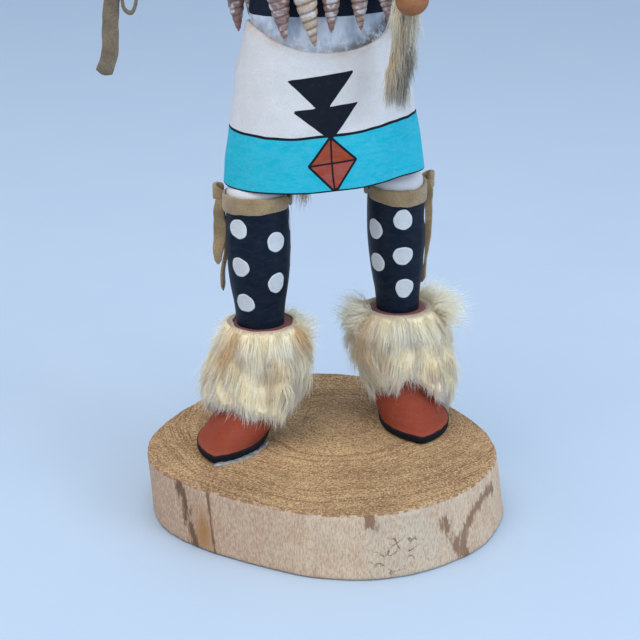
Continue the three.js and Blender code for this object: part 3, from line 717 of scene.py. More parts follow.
def boot_point(leg, angle, z, grow=0.0):
    """The boot's outline at a height: the sole, drawn in to the shaft's circle by 1 - (1 - t)^4."""
    turn = leg["foot_turn"]
    draw = 1 - (1 - np.clip((z - SOLE_TOP_Z) / (ANKLE_Z - SOLE_TOP_Z), 0, 1)) ** INSTEP_POWER
    sharpness = 1.2 + 0.4 * np.cos(angle)
    across = np.sign(np.sin(angle)) * np.abs(np.sin(angle)) ** sharpness * leg["foot_width"] / 2
    back = FOOT_LENGTH / 2 * (1 - np.cos(angle))
    foot_x = leg["toe"][0] + across * np.cos(turn) - back * np.sin(turn)
    foot_y = leg["toe"][1] + across * np.sin(turn) + back * np.cos(turn)
    r = BOOT_TOP_RADIUS * leg["boot_top"]
    out_x, out_y = np.sin(angle + turn), -np.cos(angle + turn)
    x = foot_x + (leg["ankle"][0] + r * out_x - foot_x) * draw + out_x * grow
    y = foot_y + (leg["ankle"][1] + r * out_y - foot_y) * draw + out_y * grow
    return x, y


def boot_mesh(side, leg, seed):
    """Outlines one above the other: the sole's edge, a small step in, the domed upper, the flat top."""
    a = once_round(132)
    climb = SOLE_TOP_Z + (ANKLE_Z - SOLE_TOP_Z) * np.linspace(0, 1, 52) ** 1.7
    rows = [(SOLE_Z, -1.0), (SOLE_Z + 0.3, -0.3), (SOLE_Z + 1.0, 0.0), (SOLE_TOP_Z - 0.9, 0.15),
            (SOLE_TOP_Z - 0.3, 0.1), (SOLE_TOP_Z, -0.2)]
    rows += [(z, -0.35 + 0.35 * min(1, (z - SOLE_TOP_Z) / 3)) for z in climb[1:-1]]
    rows += [(ANKLE_Z - 0.1, -0.25), (ANKLE_Z, -0.6), (ANKLE_Z - 0.1, -1.6), (ANKLE_Z - 0.3, -3.4)]
    z, grow = columns(rows)
    grid = at(*boot_point(leg, a, z, grow), z)
    grid[..., 2] += 0.16 * ripple(grid, 12, seed) * np.clip((z - SOLE_TOP_Z) / 3, 0, 1) * (z < ANKLE_Z - 1)
    return skin(f"{side}_boot", stand(grid), lift=z - SOLE_TOP_Z + 0.03 * ripple(grid, 4, seed + 1))


boot_paint, shader = plain_material("boot_paint")
rust, rust_height, _ = paint((134, 60, 41), 0.03, (162, 87, 65), 0.06)
lift = carried("lift")
coat = layers(
    # painted shade: the top of the boot, deep inside the fur cuff, turns darker and greyer
    rust, (spread(lift, 38.0, 43.6, 0.0, 0.85), (119, 79, 75)),
    # painted highlight: a faint lighter line along the edge just above the sole's step
    (within(abs(lift - 0.45), 0.3, 0.3) * 0.2, (154, 81, 60)),
    (spread(lift, -0.05, 0.05, 1.0, 0.0), paint((21, 23, 29), 0.2, (67, 64, 62), 0.3)[0]))
connect(shader, {"Base Color": coat, "Normal": bump(rust_height, 0.25, 0.0002),
                 "Roughness": 0.7, "Specular IOR Level": 0.12})
for number, (side, leg) in enumerate(LEGS.items()):
    settle(f"{side}_boot", boot_mesh(side, leg, 41 + 3 * number), boot_paint, "painted_figure", "figure")


def glue_mesh(name, leg, start, end, seed):
    """The bead of glue squeezed out along one edge of a sole: a low round section that swells and
    thins along the outline between two angles."""
    share = np.linspace(0, 1, 90)
    middle = at(*boot_point(leg, np.radians(start + (end - start) * share), SOLE_Z + 0.2, 0.35),
                SLICE_THICKNESS + 0.1)
    ahead = unit(np.gradient(middle, axis=0))
    b = once_round(14, 0)
    swell = np.sqrt(np.clip(np.sin(np.pi * share), 0.002, 1)) * (1 + 0.3 * ripple(middle, 5, seed))
    wide = at(ahead[:, 1], -ahead[:, 0], 0)[:, None] * (1.5 * swell[:, None] * np.cos(b))[..., None]
    return skin(name, stand(middle[:, None] + wide + at(0, 0, 0.7 * swell[:, None] * np.sin(b))))


clear_glue, shader = plain_material("clear_glue")
milky = spread(noise(object_place(), 400.0), 0.35, 0.65)
connect(shader, {"Base Color": layers((144, 143, 137), (milky, (112, 108, 102))),
                 "Roughness": 0.25, "Coat Weight": 0.3})
settle("right_glue_bead", glue_mesh("right_glue_bead", LEGS["right"], -6, 96, 47), clear_glue,
       "painted_figure", "figure")

# ---- fur cuffs
# A strip of rabbit pelt wrapped round each boot with the hair pointing down and glued at a seam.
# The hide's bare edge shows at the top; under the long guard hairs lies a dense pale undercoat.

CUFF_STATIONS = [  # height, radius, how far it follows the foot
    (34, 18.6, 4.5), (40, 20.2, 3.6), (48, 21.2, 2.6), (58, 21.4, 1.4), (67, 20.0, 0.5),
    (73, 16.8, 0), (75.2, 14.2, 0)]
CUFF_LOCKS = 9
CUFF_TOP_Z = 75.2
# degrees round and height where the hair ends; how it sweeps sideways; then patches (degrees, height,
# width, tall, strength) where the coat is drawn in, tan, dark (in places painted shade between locks) or
# flared; and where it stands up (from, to, short, long, how many guard hairs, how many coat hairs)
CUFF_FUR = {
    "right": {"fringe": [(-180, 33), (-120, 35), (-90, 40), (-66, 43), (-25, 43), (-9, 41.5), (11, 38.5),
                         (32, 36.5), (60, 38), (100, 36), (180, 33)],
              "sweep": [(-180, 0), (-110, -0.2), (-65, -0.35), (-30, -0.08), (0, 0.08), (30, 0.2),
                        (70, 0.0), (180, 0)],
              "drawn_in": [(-100, 71, 45, 9, 3.0), (62, 42, 40, 12, 4.2)],
              "tan": [(-55, 62, 24, 7, 0.95), (-80, 50, 16, 5, 0.5), (8, 56, 14, 5, 0.7),
                      (56, 68, 12, 6, 0.9), (40, 45, 10, 6, 0.4), (150, 55, 40, 9, 0.5)],
              # the dark patch at 30 degrees is painted shade where the hair parts between locks
              "dark": [(-47, 71, 1.5, 4.5, 0.4), (30, 50, 8, 9, 0.15), (58, 62, 6, 5, 0.2)],
              "flared": [(-95, 58, 32, 10, 0.4), (82, 58, 30, 14, 0.3)],
              "standing": [(60, 150, 5, 9, 260, 260), (-150, -80, 3, 6, 160, 60)]},
    "left": {"fringe": [(-180, 33), (-100, 37), (-60, 40), (-42, 42), (-31, 43.5), (-20, 46), (-9, 48.5),
                        (2, 49.5), (15, 44.5), (32, 40), (50, 36), (80, 32), (180, 33)],
             "sweep": [(-180, 0), (-90, 0.3), (-55, 0.34), (-30, 0.0), (-10, -0.4), (6, -0.35), (22, 0.05),
                       (50, 0.12), (90, -0.1), (180, 0)],
             "drawn_in": [(-72, 43, 50, 13, 5.0)],
             "tan": [(-66, 62, 18, 11, 0.9), (-30, 52, 10, 6, 0.4), (30, 47, 16, 7, 0.6),
                     (66, 60, 14, 10, 0.45), (170, 60, 50, 9, 0.5)],
             "dark": [(-4, 71, 1.4, 6, 0.4), (-80, 60, 8, 7, 0.2), (10, 61, 4, 4, 0.35),
                      (38, 44, 7, 5, 0.25)],
             "flared": [(-95, 68, 38, 8, 0.45), (82, 52, 40, 16, 0.3)],
             "standing": [(58, 165, 8, 17, 420, 1300), (-135, -60, 6, 12, 420, 200)]},
}
# how each kind of hair grows: count, rings in a hair, lift, scatter, length, width, overrun past the
# fringe, and how many of them run on further still
HAIR_KINDS = {
    "coat": (12000, 3, 0.13, 0.035, (9, 14), (0.15, 0.25), 1.8, 0.1),
    "guard": (4200, 4, 0.20, 0.08, (11, 18), (0.09, 0.14), 3.4, 0.3)}
STRAY_HAIRS = 220
STRAY_LENGTH = 8.0

cuff_at = smooth_through(CUFF_STATIONS)


def patches(degrees, z, spots):
    """How strongly soft oval patches, each (degrees, height, width, tall, strength), cover a place."""
    return np.max([strength * bell((degrees - angle + 180) % 360 - 180, wide) * bell(z - height, tall)
                   for angle, height, wide, tall, strength in spots], axis=0)


def cuff_point(side, leg, angle, z, grow=0.0):
    """The cuff's outer form: rings that drift outwards and forwards with the foot, with soft locks."""
    radius, follow = cuff_at(z)
    drift = (-1 if side == "right" else 1) - 0.3 * np.sin(leg["foot_turn"])
    lock = np.cos(CUFF_LOCKS * angle + 0.05 * z) * np.where(z < 73, 1, 0.3)
    r = radius * (1 + 0.05 * lock) + grow - patches(np.degrees(angle), z, CUFF_FUR[side]["drawn_in"])
    return at(leg["ankle"][0] + follow * drift + r * np.sin(angle),
              leg["ankle"][1] - follow * 0.4 - r * np.cos(angle), z)


def boot_table(leg):
    """How far the boot reaches from the ankle's axis, by height and direction."""
    a = np.linspace(-np.pi, np.pi, 361)
    heights = np.linspace(SOLE_Z, ANKLE_Z, 60)
    ways = np.linspace(-np.pi, np.pi, 181)
    reach = []
    for z in heights:
        x, y = boot_point(leg, a, z) - np.array(leg["ankle"])[:, None]
        way = np.arctan2(x, -y)
        order = np.argsort(way)
        reach.append(np.interp(ways, way[order], np.hypot(x, y)[order], period=2 * np.pi))
    return heights, ways, np.array(reach)


def clear_of_boot(leg, table, points, gap=0.3):
    """Moves points off the boot and the slice: sideways beside the shaft, upwards over the toes."""
    heights, ways, reach = table
    x, y, z = points[..., 0] - leg["ankle"][0], points[..., 1] - leg["ankle"][1], points[..., 2]
    way, out = np.arctan2(x, -y), np.hypot(x, y)
    column = (way - ways[0]) / (ways[1] - ways[0])
    left = np.clip(column.astype(int), 0, len(ways) - 2)
    profile = reach[:, left] * (1 - column + left) + reach[:, left + 1] * (column - left)
    row = np.clip((z - heights[0]) / (heights[1] - heights[0]), 0, len(heights) - 1.001)
    low = row.astype(int)
    boot_here = np.take_along_axis(profile, low[None], 0)[0] * (1 - row + low)
    boot_here += np.take_along_axis(profile, low[None] + 1, 0)[0] * (row - low)
    surface = heights[np.clip((profile > out).sum(0), 0, len(heights) - 1)]
    deep = boot_here + gap - out
    beside = (deep > 0) & ((deep < 2.5) | (z > 50))
    scale = np.where(beside, (boot_here + gap) / np.maximum(out, 1e-6), 1)
    lifted = np.where((deep > 0) & ~beside, np.minimum(surface + gap, z + 9), z)
    return at(leg["ankle"][0] + x * scale, leg["ankle"][1] + y * scale,
              np.maximum(lifted, SLICE_THICKNESS + 0.4))


def hairs(name, roots, lie, bend, length, width, seed, fields, clump, locks, rings=3, sway=0.035,
          clear=None):
    """Tapered three-sided hairs. Each follows root + length (t lie + t^2 bend), is drawn by a share
    of t^1.5 towards the tip of the nearest lock's leading hair, and ends in a point."""
    rng = np.random.default_rng(seed)
    count = len(roots)
    tips = roots + length[:, None] * (lie + bend)
    leaders = rng.choice(count, locks, replace=False)
    nearest = np.concatenate([np.argmin(((roots[leaders] - part[:, None]) ** 2).sum(-1), axis=1)
                              for part in np.array_split(roots, 40)])
    pull = (tips[leaders][nearest] - tips) * (clump * rng.uniform(0.5, 1.1, (count, 1)))
    t = np.append(np.linspace(0, 0.86, rings), 1.0)[:, None]
    wave = 0.025 * rng.normal(size=(count, 1, 3)) + sway * rng.normal(size=(locks, 1, 3))[nearest]
    wave *= length[:, None, None]
    path = roots[:, None] + length[:, None, None] * (t * lie[:, None] + t * t * bend[:, None])
    path = path + t ** 1.5 * pull[:, None] + np.sin(np.pi * t) * wave
    if clear:
        path = clear(path)
    ahead = unit(path[:, -1] - path[:, 0] + 1e-9)
    across = unit(np.cross(ahead, rng.normal(size=(count, 3))))
    turn = np.radians([0, 120, 240])[:, None]
    across = across[:, None] * np.cos(turn) + np.cross(ahead, across)[:, None] * np.sin(turn)
    thick = width[:, None, None, None] / 2 * (1 - 0.85 * t[:-1, None] ** 2)
    corners = path[:, :-1, None] + across[:, None] * thick
    points = np.concatenate([corners.reshape(count, -1, 3), path[:, -1:]], axis=1)
    tip = rings * 3
    ring = np.arange(tip).reshape(rings, 3)
    beside = np.roll(ring, -1, axis=1)
    quads = np.stack([ring[:-1], beside[:-1], beside[1:], ring[1:]], axis=-1).reshape(-1, 4)
    ends = np.concatenate([[[0, 2, 1]], np.stack([ring[-1], beside[-1], np.full(3, tip)], axis=-1)])
    step = np.arange(count)[:, None, None] * (tip + 1)
    values = {key: np.repeat(value, tip + 1) for key, value in fields.items()}
    values["along"] = np.tile(np.append(np.repeat(t[:-1, 0], 3), 1.0), count)
    return solid_mesh(name, stand(points.reshape(-1, 3)), (quads + step).reshape(-1, 4),
                      (ends + step).reshape(-1, 3), values)


# Hair colour: darker and yellower at the root, pale at the tip, with patches of tan and of brown; some
# brown patches on the cuffs are painted shade where the hair parts between locks.
fur_shade, (root, tip, tan, dark), effect_end = effect(
    "fur_shade", dict.fromkeys(("Root", "Tip", "Tan", "Dark"), "Color"), {"Colour": "Color"})
along = carried("along")
shade = layers(root, (spread(along, 0.1, 0.9), tip), (carried("tan"), tan), (carried("dark"), dark),
               (carried("ends") * spread(along, 0.3, 0.9), (255, 252, 240)))
connect(effect_end, {"Colour": put("HueSaturation", {"Color": shade, "Value": carried("tone")})})

rabbit_hair, shader = plain_material("rabbit_hair")
shade, = use_effect(fur_shade, {"Root": (254, 241, 200), "Tip": (255, 250, 230), "Tan": (220, 178, 118),
                                "Dark": (92, 74, 58)}, "Colour")
connect(shader, {"Base Color": shade, "Roughness": 0.55, "Specular IOR Level": 0.35, "Sheen Weight": 0.4})

rabbit_hide, shader = plain_material("rabbit_hide")
felt = noise(object_place((1.0, 1.0, 0.2)), 900.0, 3.0, 0.6)
down = layers((244, 228, 190), (spread(felt, 0.35, 0.65), (222, 198, 154)),
              (carried("rim") * 0.7, (146, 112, 88)))
connect(shader, {"Base Color": down, "Normal": bump(felt, 0.8, 0.0006), "Roughness": 0.9,
                 "Sheen Weight": 0.3})


def lumps(side, leg, angle, z):
    """Slow swells of the pelt, fading out under its top edge."""
    return 0.8 * ripple(cuff_point(side, leg, angle, z), 10, 52) * np.clip((74 - z) / 6, 0, 1)


def hide_mesh(side, leg):
    """The hide: the cuff's form drawn in under the hair, turned over at the top and down the inside,
    with fine upright furrows where the undercoat parts; it ends a little above the fringe."""
    a = once_round(200)
    fringe = smooth_through(CUFF_FUR[side]["fringe"])(np.degrees(a))[0]
    rows = [(up, -2.4) for up in np.linspace(0.08, 0.86, 28)]
    rows += [(0.92, -1.6), (0.955, -0.9), (0.98, -0.5), (0.995, -0.2), (1.005, -0.6), (1.0, -1.2)]
    up, grow = columns(rows)
    z = fringe + (CUFF_TOP_Z - fringe) * up
    furrows = 0.25 * ripple(cuff_point(side, leg, a, z, grow) * (1, 1, 0.12), 2.4, 51)
    furrows = furrows * np.clip((75 - z) / 4, 0, 1) + lumps(side, leg, a, z)
    inner = outward(a) * (BOOT_TOP_RADIUS * leg["boot_top"] + 0.35)
    inner = inner + at(*leg["ankle"], np.array([[75.0], [73.0]]))
    grid = np.concatenate([cuff_point(side, leg, a, z, grow + furrows), inner])
    return skin(f"{side}_cuff_hide", stand(grid), rim=np.clip(grid[..., 2] - 73.8, 0, 1))


def cuff_hairs(side, leg, seed, kind):
    """Hairs rooted all over the cuff, lying down along it; guard hairs are longer and stand off.
    A hair is never longer than what is left from its root down to the fringe."""
    count, rings, rise, scatter, lengths, widths, overrun, often = HAIR_KINDS[kind]
    guard = kind == "guard"
    fur = CUFF_FUR[side]
    rng = np.random.default_rng(seed)
    a = rng.uniform(-np.pi, np.pi, count)
    degrees = np.degrees(a)
    fringe = smooth_through(fur["fringe"])(degrees)[0]
    z = fringe + 2.5 + (75.0 - fringe - 2.5) * rng.beta(1.1, 0.95, count)
    z = np.where(rng.random(count) < 0.16, rng.uniform(73.6, 75.3, count), z)
    inset = -2.2 + 1.7 * np.clip((z - 71) / 4, 0, 1) + lumps(side, leg, a, z)
    roots = cuff_point(side, leg, a, z, inset)
    down = unit(cuff_point(side, leg, a, z - 3, inset - 0.5) - roots)
    out = outward(a)
    swirl = 0.16 * ripple(roots, 13, seed + 1) + 0.12 * ripple(roots, 5, seed + 5)
    swirl += smooth_through(fur["sweep"])(degrees)[0] * np.clip((76 - z) / 14, 0, 1)
    lift = rise + 0.05 * ripple(roots, 6, seed + 4)
    lift = lift * (0.35 + 0.65 * np.clip((75 - z) / 14, 0, 1)) + patches(degrees, z, fur["flared"])
    lie = down + out * lift[:, None] + np.cross(out, down) * swirl[:, None]
    lie = unit(lie + scatter * rng.normal(size=(count, 3)))
    bend = -0.10 * out - (0, 0, 0.06)
    length = rng.uniform(*lengths, count)
    left = (z - fringe) / np.clip(-down[:, 2], 0.5, 1)
    over = rng.uniform(-1.2, overrun, count) + (rng.random(count) < often) * 3.0
    length = np.minimum(length, left + over + 1.7 * ripple(roots, 6, seed + 7))
    width = rng.uniform(*widths, count)
    mottle = 0.5 + 0.5 * ripple(roots * (1, 1, 0.5), 6, seed + 2)
    end = z - 0.6 * length
    fields = {
        "tan": np.clip(patches(degrees, end, fur["tan"]) * (0.7 + 0.4 * mottle) + 0.10 * mottle, 0, 0.95),
        "dark": np.clip(patches(degrees, end, fur["dark"]), 0, 0.9),
        "tone": np.clip(1 + 0.03 * rng.normal(size=count) + 0.03 * ripple(roots, 3, seed + 6), 0.7, 1.1),
        "ends": np.clip(1 - (z - length - fringe) / 7, 0, 0.8),
    }
    start = 0
    for first, last, short, long, *counts in fur["standing"]:
        some = counts[0 if guard else 1]
        part = slice(start, start + some)
        start += some
        way = np.radians(rng.uniform(first, last, some))
        roots[part] = cuff_point(side, leg, way, rng.uniform(67, 75, some), -1.2)
        away = outward(way)
        lie[part] = away * rng.uniform(0.15, 0.75, (some, 1)) + (0, 0, 0.8)
        lie[part] += (0.22 if guard else 0.12) * rng.normal(size=(some, 3))
        bend[part] = away * 0.35 - (0, 0, 0.35)
        length[part] = rng.uniform(short, long, some)
        fields["tan"][part] *= 0.2
        fields["dark"][part] = 0.0
        fields["ends"][part] = 0.0
    if guard:
        stray = slice(start, start + STRAY_HAIRS)
        lie[stray] += out[stray] * 0.7 + 0.3 * rng.normal(size=(STRAY_HAIRS, 3))
        length[stray] = np.minimum(length[stray], STRAY_LENGTH)
    table = boot_table(leg)
    return hairs(f"{side}_cuff_{kind}", roots, lie, bend, length, width, seed + 3, fields, 0.3, 130, rings,
                 0.07, lambda points: clear_of_boot(leg, table, points))


for number, (side, leg) in enumerate(LEGS.items()):
    node = f"{side}_fur_cuff"
    settle(f"{side}_cuff_hide", hide_mesh(side, leg), rabbit_hide, "rabbit_fur", node)
    for kind, seed in (("coat", 100), ("guard", 200)):
        settle(f"{side}_cuff_{kind}", cuff_hairs(side, leg, seed + number, kind), rabbit_hair,
               "rabbit_fur", node)

# ---- garters
# Straps of tan suede, flesh side out, tied below each knee with an overhand knot at the outside.
# Two uneven tails hang from each knot, curled where the leather dried.

GARTER_MIDDLE_Z = 125.5
SUEDE = 1.4
KNOT_Z = 126.6
TAILS = {  # turn from the knot, height of the end, reach from the leg, widths, twist, facing
    "right": [(6, 98, 16.2, (2.4, 5.0, 4.8, 2.4), 10, -15),
              (-12, 85.5, 16.2, (2.2, 2.8, 2.8, 4.6), -20, -132)],
    "left": [(-14, 84.5, 11.8, (3.6, 4.6, 3.4, 3.8), 20, -25),
             (26, 96, 13.2, (2.4, 3.6, 3.2, 3.0), 60, 80)],
}


def smooth_path(points, steps):
    """Points spaced along a cubic curve through the given ones."""
    knots = np.linspace(0, 1, len(points))[:, None]
    return smooth_through(np.hstack([knots, points]))(np.linspace(0, 1, steps)).T


def strap_grid(path, widths, thickness, side, twist=0.0, seed=0):
    """A flat strap along a path: a rounded oblong section whose width changes along it, its width
    turned to side and then twisted evenly by so many degrees, with a soft uneven edge."""
    s = np.linspace(0, 1, len(path))[:, None]
    ahead = unit(np.gradient(path, axis=0))
    face = unit(np.cross(ahead, side))
    turn = np.radians(twist) * s
    wide = np.cross(face, ahead) * np.cos(turn) + face * np.sin(turn)
    width = smooth_path(columns([widths])[:, 0], len(path)) * (1 + 0.04 * ripple(path, 6, seed))[:, None]
    across, thick = oval(1.0, 1.0, once_round(20, 0), 4.5)
    end = np.clip(np.minimum(s, 1 - s) * len(path) / 1.5, 0.25, 1)
    grid = path[:, None] + wide[:, None] * (across * width / 2 * end)[..., None]
    return grid - np.cross(ahead, wide)[:, None] * (thick * thickness / 2 * end)[..., None]


suede_nap, (colour, deep), effect_end = effect(
    "suede_nap", {"Colour": "Color", "Deep": "Color"}, {"Colour": "Color", "Height": "Float"})
nap = noise(object_place(), 1500.0, 4.0, 0.7)
rubbed = noise(object_place(), 170.0, 3.0, 0.55)
connect(effect_end, {"Colour": layers(colour, (spread(rubbed, 0.35, 0.7, 0.0, 0.6), deep),
                                      (spread(nap, 0.45, 0.65, 0.0, 0.55), deep)),
                     "Height": nap + rubbed * 0.6})


def suede_material(name, colour, deep):
    """Napped leather: the nap effect, fully rough, with a pale sheen at grazing angles."""
    material, shader = plain_material(name)
    tint, height = use_effect(suede_nap, {"Colour": colour, "Deep": deep}, "Colour", "Height")
    connect(shader, {"Base Color": tint, "Normal": bump(height, 0.7, 0.0005), "Roughness": 0.95,
                     "Specular IOR Level": 0.15, "Sheen Weight": 0.35})
    return material


def garter_grids(side, leg):
    """The band as a closed strap round the leg, a knot of one and a half turns, and two tails."""
    x, y = leg_middle(leg, GARTER_MIDDLE_Z)
    inner = leg_radius(GARTER_MIDDLE_Z)[0] * leg["thickness"] + 0.15
    outer = inner + SUEDE
    knot_way = leg["knot_angle"]

    def out_at(way, r, height):
        return outward(way) * np.reshape(r, (-1, 1)) + at(x, y, height)

    a = np.linspace(-np.pi, np.pi, 73) + knot_way
    sag = 0.5 * np.cos(a - knot_way + np.pi) - leg["sag"] * np.clip(np.cos(a), 0, 1)
    band = out_at(a, (inner + outer) / 2, GARTER_MIDDLE_Z + sag)
    t = np.linspace(0, 1, 30)[:, None]
    wind = 2 * np.pi * 1.5 * t + 0.6
    coil = out_at(knot_way, outer + 2.0, KNOT_Z) + outward(knot_way) * 1.9 * np.sin(wind)
    coil = coil + outward(knot_way + np.pi / 2) * 2.2 * np.cos(wind)
    coil = coil + (0, 0, 1) * (4.2 * (t - 0.5) + 0.9 * np.sin(wind))
    grids = [strap_grid(band, (4.6, 6.4, 7.0, 7.0, 7.0, 6.4, 4.6), SUEDE, (0, 0, 1), seed=5),
             strap_grid(coil, (3.4, 4.2, 4.2, 3.4), 1.7, (0, 0, 1), seed=6)]
    k = np.linspace(0, 1, 6)
    for turn, bottom, reach, widths, twist, facing in TAILS[side]:
        way = knot_way + np.radians(turn) + 0.10 * np.sin(9 * k)
        path = out_at(way, outer + 1.4 + (reach - outer - 1.4) * k, KNOT_Z + (bottom - KNOT_Z) * k)
        facing = outward(np.radians(facing + 90))
        grids.append(strap_grid(smooth_path(path, 34), widths, 1.3, facing, twist, seed=7))
    return grids


tan_suede = suede_material("tan_suede", (162, 139, 102), (123, 96, 64))
for side, leg in LEGS.items():
    name = f"{side}_garter_suede"
    settle(name, skin(name, *map(stand, garter_grids(side, leg))), tan_suede, "tan_suede", f"{side}_garter")

# ---- belt thong and shells
# A dark thong round the waist carries a row of small cerith shells hung points down. Each shell is
# a tight cone of ribbed whorls, glossy, banded in cream, brown and mauve.

BELT_Z = 212.5
BELT_HEIGHT = 3.0
SHELL_TOP_Z = 216.0
SHELL_WHORLS = 9.5
SHELL_RIBS = 16
SHELLS = [  # degrees round the waist, length, radius, lean, and how red and how pale it is
    (-138, 23, 4.0, 2, 0.3, 0.2), (-97, 26.4, 4.1, -4.5, 1.0, 0.0), (-37, 27.2, 4.4, -9.5, 0.4, 0.0),
    (-18.6, 29.4, 4.4, -12, 0.1, 0.85), (0.5, 23.8, 3.8, -0.7, 0.7, 0.2), (17.5, 23.5, 3.8, -3.4, 0.5, 0.3),
    (38, 20.2, 4.0, -8, 0.4, 0.2), (64, 24, 4.1, 0, 0.3, 0.5), (98, 25, 4.2, -3, 0.8, 0.1),
    (138, 23, 4.0, -2, 0.4, 0.4)]


def hoop(name, grid):
    """A skin closed both ways: rows run once round the doll, columns once round the section."""
    rows, around = grid.shape[:2]
    corner = np.arange(rows * around).reshape(rows, around)
    beside, after = np.roll(corner, -1, axis=1), np.roll(corner, -1, axis=0)
    quads = np.stack([corner, after, np.roll(after, -1, axis=1), beside], axis=-1).reshape(-1, 4)
    return solid_mesh(name, stand(grid).reshape(-1, 3), quads, np.zeros((0, 3), int), {})


def belt_mesh():
    """A band of two plies round the waist: an oval path carrying a rounded section."""
    a, b = once_round(180).T, once_round(14, 0)
    z = BELT_Z + BELT_HEIGHT / 2 + BELT_HEIGHT / 2 * np.sin(b)
    half_width, half_depth, lean = torso_at(z + 0 * a)
    ply = 0.18 * np.sin(40 * a + 2 * b)
    grow = 1.4 + np.cos(b) * 0.9 + ply
    x, y = oval(half_width + grow, half_depth + grow, a, BODY_SQUARENESS)
    return hoop("belt_leather", at(x + lean, y, z))


def shell_mesh(name, angle, length, radius, lean, red, pale, seed):
    """A cone whose radius swells along it, wound with whorls: the phase of the winding is the
    length share times the whorls less the turn, and each whorl bulges and steps in at its suture."""
    t, a = np.linspace(0, 1, 84)[:, None], once_round(36, 0)
    swell = 0.13 + 0.87 * np.sin(np.minimum(1, t / 0.78) * np.pi / 2) ** 0.95
    swell = swell * np.where(t > 0.86, np.sqrt(np.clip(1 - ((t - 0.86) / 0.15) ** 2, 0.03, 1)), 1)
    phase = (t ** 0.82 * SHELL_WHORLS - a / (2 * np.pi)) % 1
    bulge = np.sin(np.pi * phase) ** 0.55
    ribs = np.cos(a * SHELL_RIBS + 2 * np.pi * t * 1.5) * np.sin(np.pi * phase) ** 2
    cords = np.cos(phase * 2 * np.pi * 4)
    r = radius * swell * (0.90 + 0.11 * bulge + 0.034 * ribs + 0.014 * cords) * np.where(t < 0.03, 0.6, 1)
    tilt = np.radians(lean)
    side, up = r * np.sin(a), length * (t - 1)
    side, up = side * np.cos(tilt) + up * np.sin(tilt), up * np.cos(tilt) - side * np.sin(tilt)
    half_width, half_depth, shift = torso_at(BELT_Z)
    grow = 2.6 + radius
    hang_x, hang_y = oval(half_width + grow, half_depth + grow, np.radians(angle), BODY_SQUARENESS)
    grid = at(side + hang_x + shift, hang_y - r * np.cos(a), up + SHELL_TOP_Z)
    tone = np.random.default_rng(seed).uniform(0.9, 1.06)
    return skin(name, stand(grid), winding=(bulge, t, ribs), colouring=(red, pale, tone))


dark_thong = suede_material("dark_thong", (92, 65, 44), (50, 35, 25))
settle("belt_leather", belt_mesh(), dark_thong, "dark_leather", "belt_thong")

cerith_shell, shader = plain_material("cerith_shell")
bulge, share, rib = carried_three("winding")
red, pale, tone = carried_three("colouring")
mottle = noise(object_place((1.0, 1.0, 2.6)), 330.0, 4.0, 0.6)
fine = noise(object_place(), 1100.0, 3.0, 0.6)
cream = noise(object_place(), 230.0, 2.0, 0.5)
shade = layers(
    (179, 154, 141), (spread(mottle, 0.4, 0.62), (121, 89, 79)), (red * 0.7, (121, 75, 65)),
    (pale * 0.85, (200, 177, 143)), (spread(cream, 0.53, 0.62, 0.0, 0.85), (214, 206, 200)),
    # lighter on the crests of the ribs and darker down in the sutures between the whorls
    (spread(rib, 0.2, 1.0, 0.0, 0.4), (189, 164, 148)), (spread(bulge, 0.35, 0.85, 0.75, 0.0), (89, 58, 52)),
    (spread(fine, 0.45, 0.7, 0.0, 0.3), (104, 75, 65)), (spread(share, 0.0, 0.22, 0.6, 0.0), (144, 85, 52)))
connect(shader, {"Base Color": put("HueSaturation", {"Color": shade, "Value": tone}),
                 "Normal": bump(fine, 0.25, 0.0003), "Roughness": 0.3, "Coat Weight": 0.25})
for number, row in enumerate(SHELLS, start=1):
    name = f"shell_{number:02d}"
    settle(f"{name}_cerith", shell_mesh(f"{name}_cerith", *row, 60 + number), cerith_shell, "sea_shell", name)

# ---- arms
# Each arm is whittled apart, pegged at the shoulder and ends in a closed fist. The sleeves are the
# same blue-black as the legs, dotted white near the shoulder, and the hands are reddish tan.

ARMS = {  # the middle and radius of places from the shoulder to the wrist, then the fist and its size
    "right": {"chain": [(-24, 1, 240, 7.4), (-35, 1.6, 237, 7.6), (-45, 4, 229, 6.8), (-52, 6, 224, 6.3),
                        (-62, 6.4, 220, 6.2), (-72, 6.3, 216.5, 5.2), (-79, 6, 214, 4.6), (-82, 6, 213, 4.6)],
              "fist": (-86.5, 6, 211.8), "size": (6.2, 5.4, 6.4)},
    "left": {"chain": [(18, 1, 240, 7.4), (28, 0.4, 237, 7.6), (34.5, -3, 227, 6.9), (36.5, -9.5, 217, 6.4),
                       (33, -19, 211.5, 6.2), (26.5, -30, 209, 5.3), (22, -38.5, 207.5, 4.6),
                       (21.5, -42, 207, 4.6)],
             "fist": (20.6, -47, 206.4), "size": (4.8, 6.0, 5.2)},
}
ARM_STEPS = 56  # rings of the sleeve that are kept, and steps round each
HAND_STEPS = 26
SLEEVE_DOTS = [(8, 10), (8, 38), (16, 24), (16, 52), (24, 10), (24, 38)]  # (ring, step round it)
SLEEVE_DOT_RADIUS = 2.6


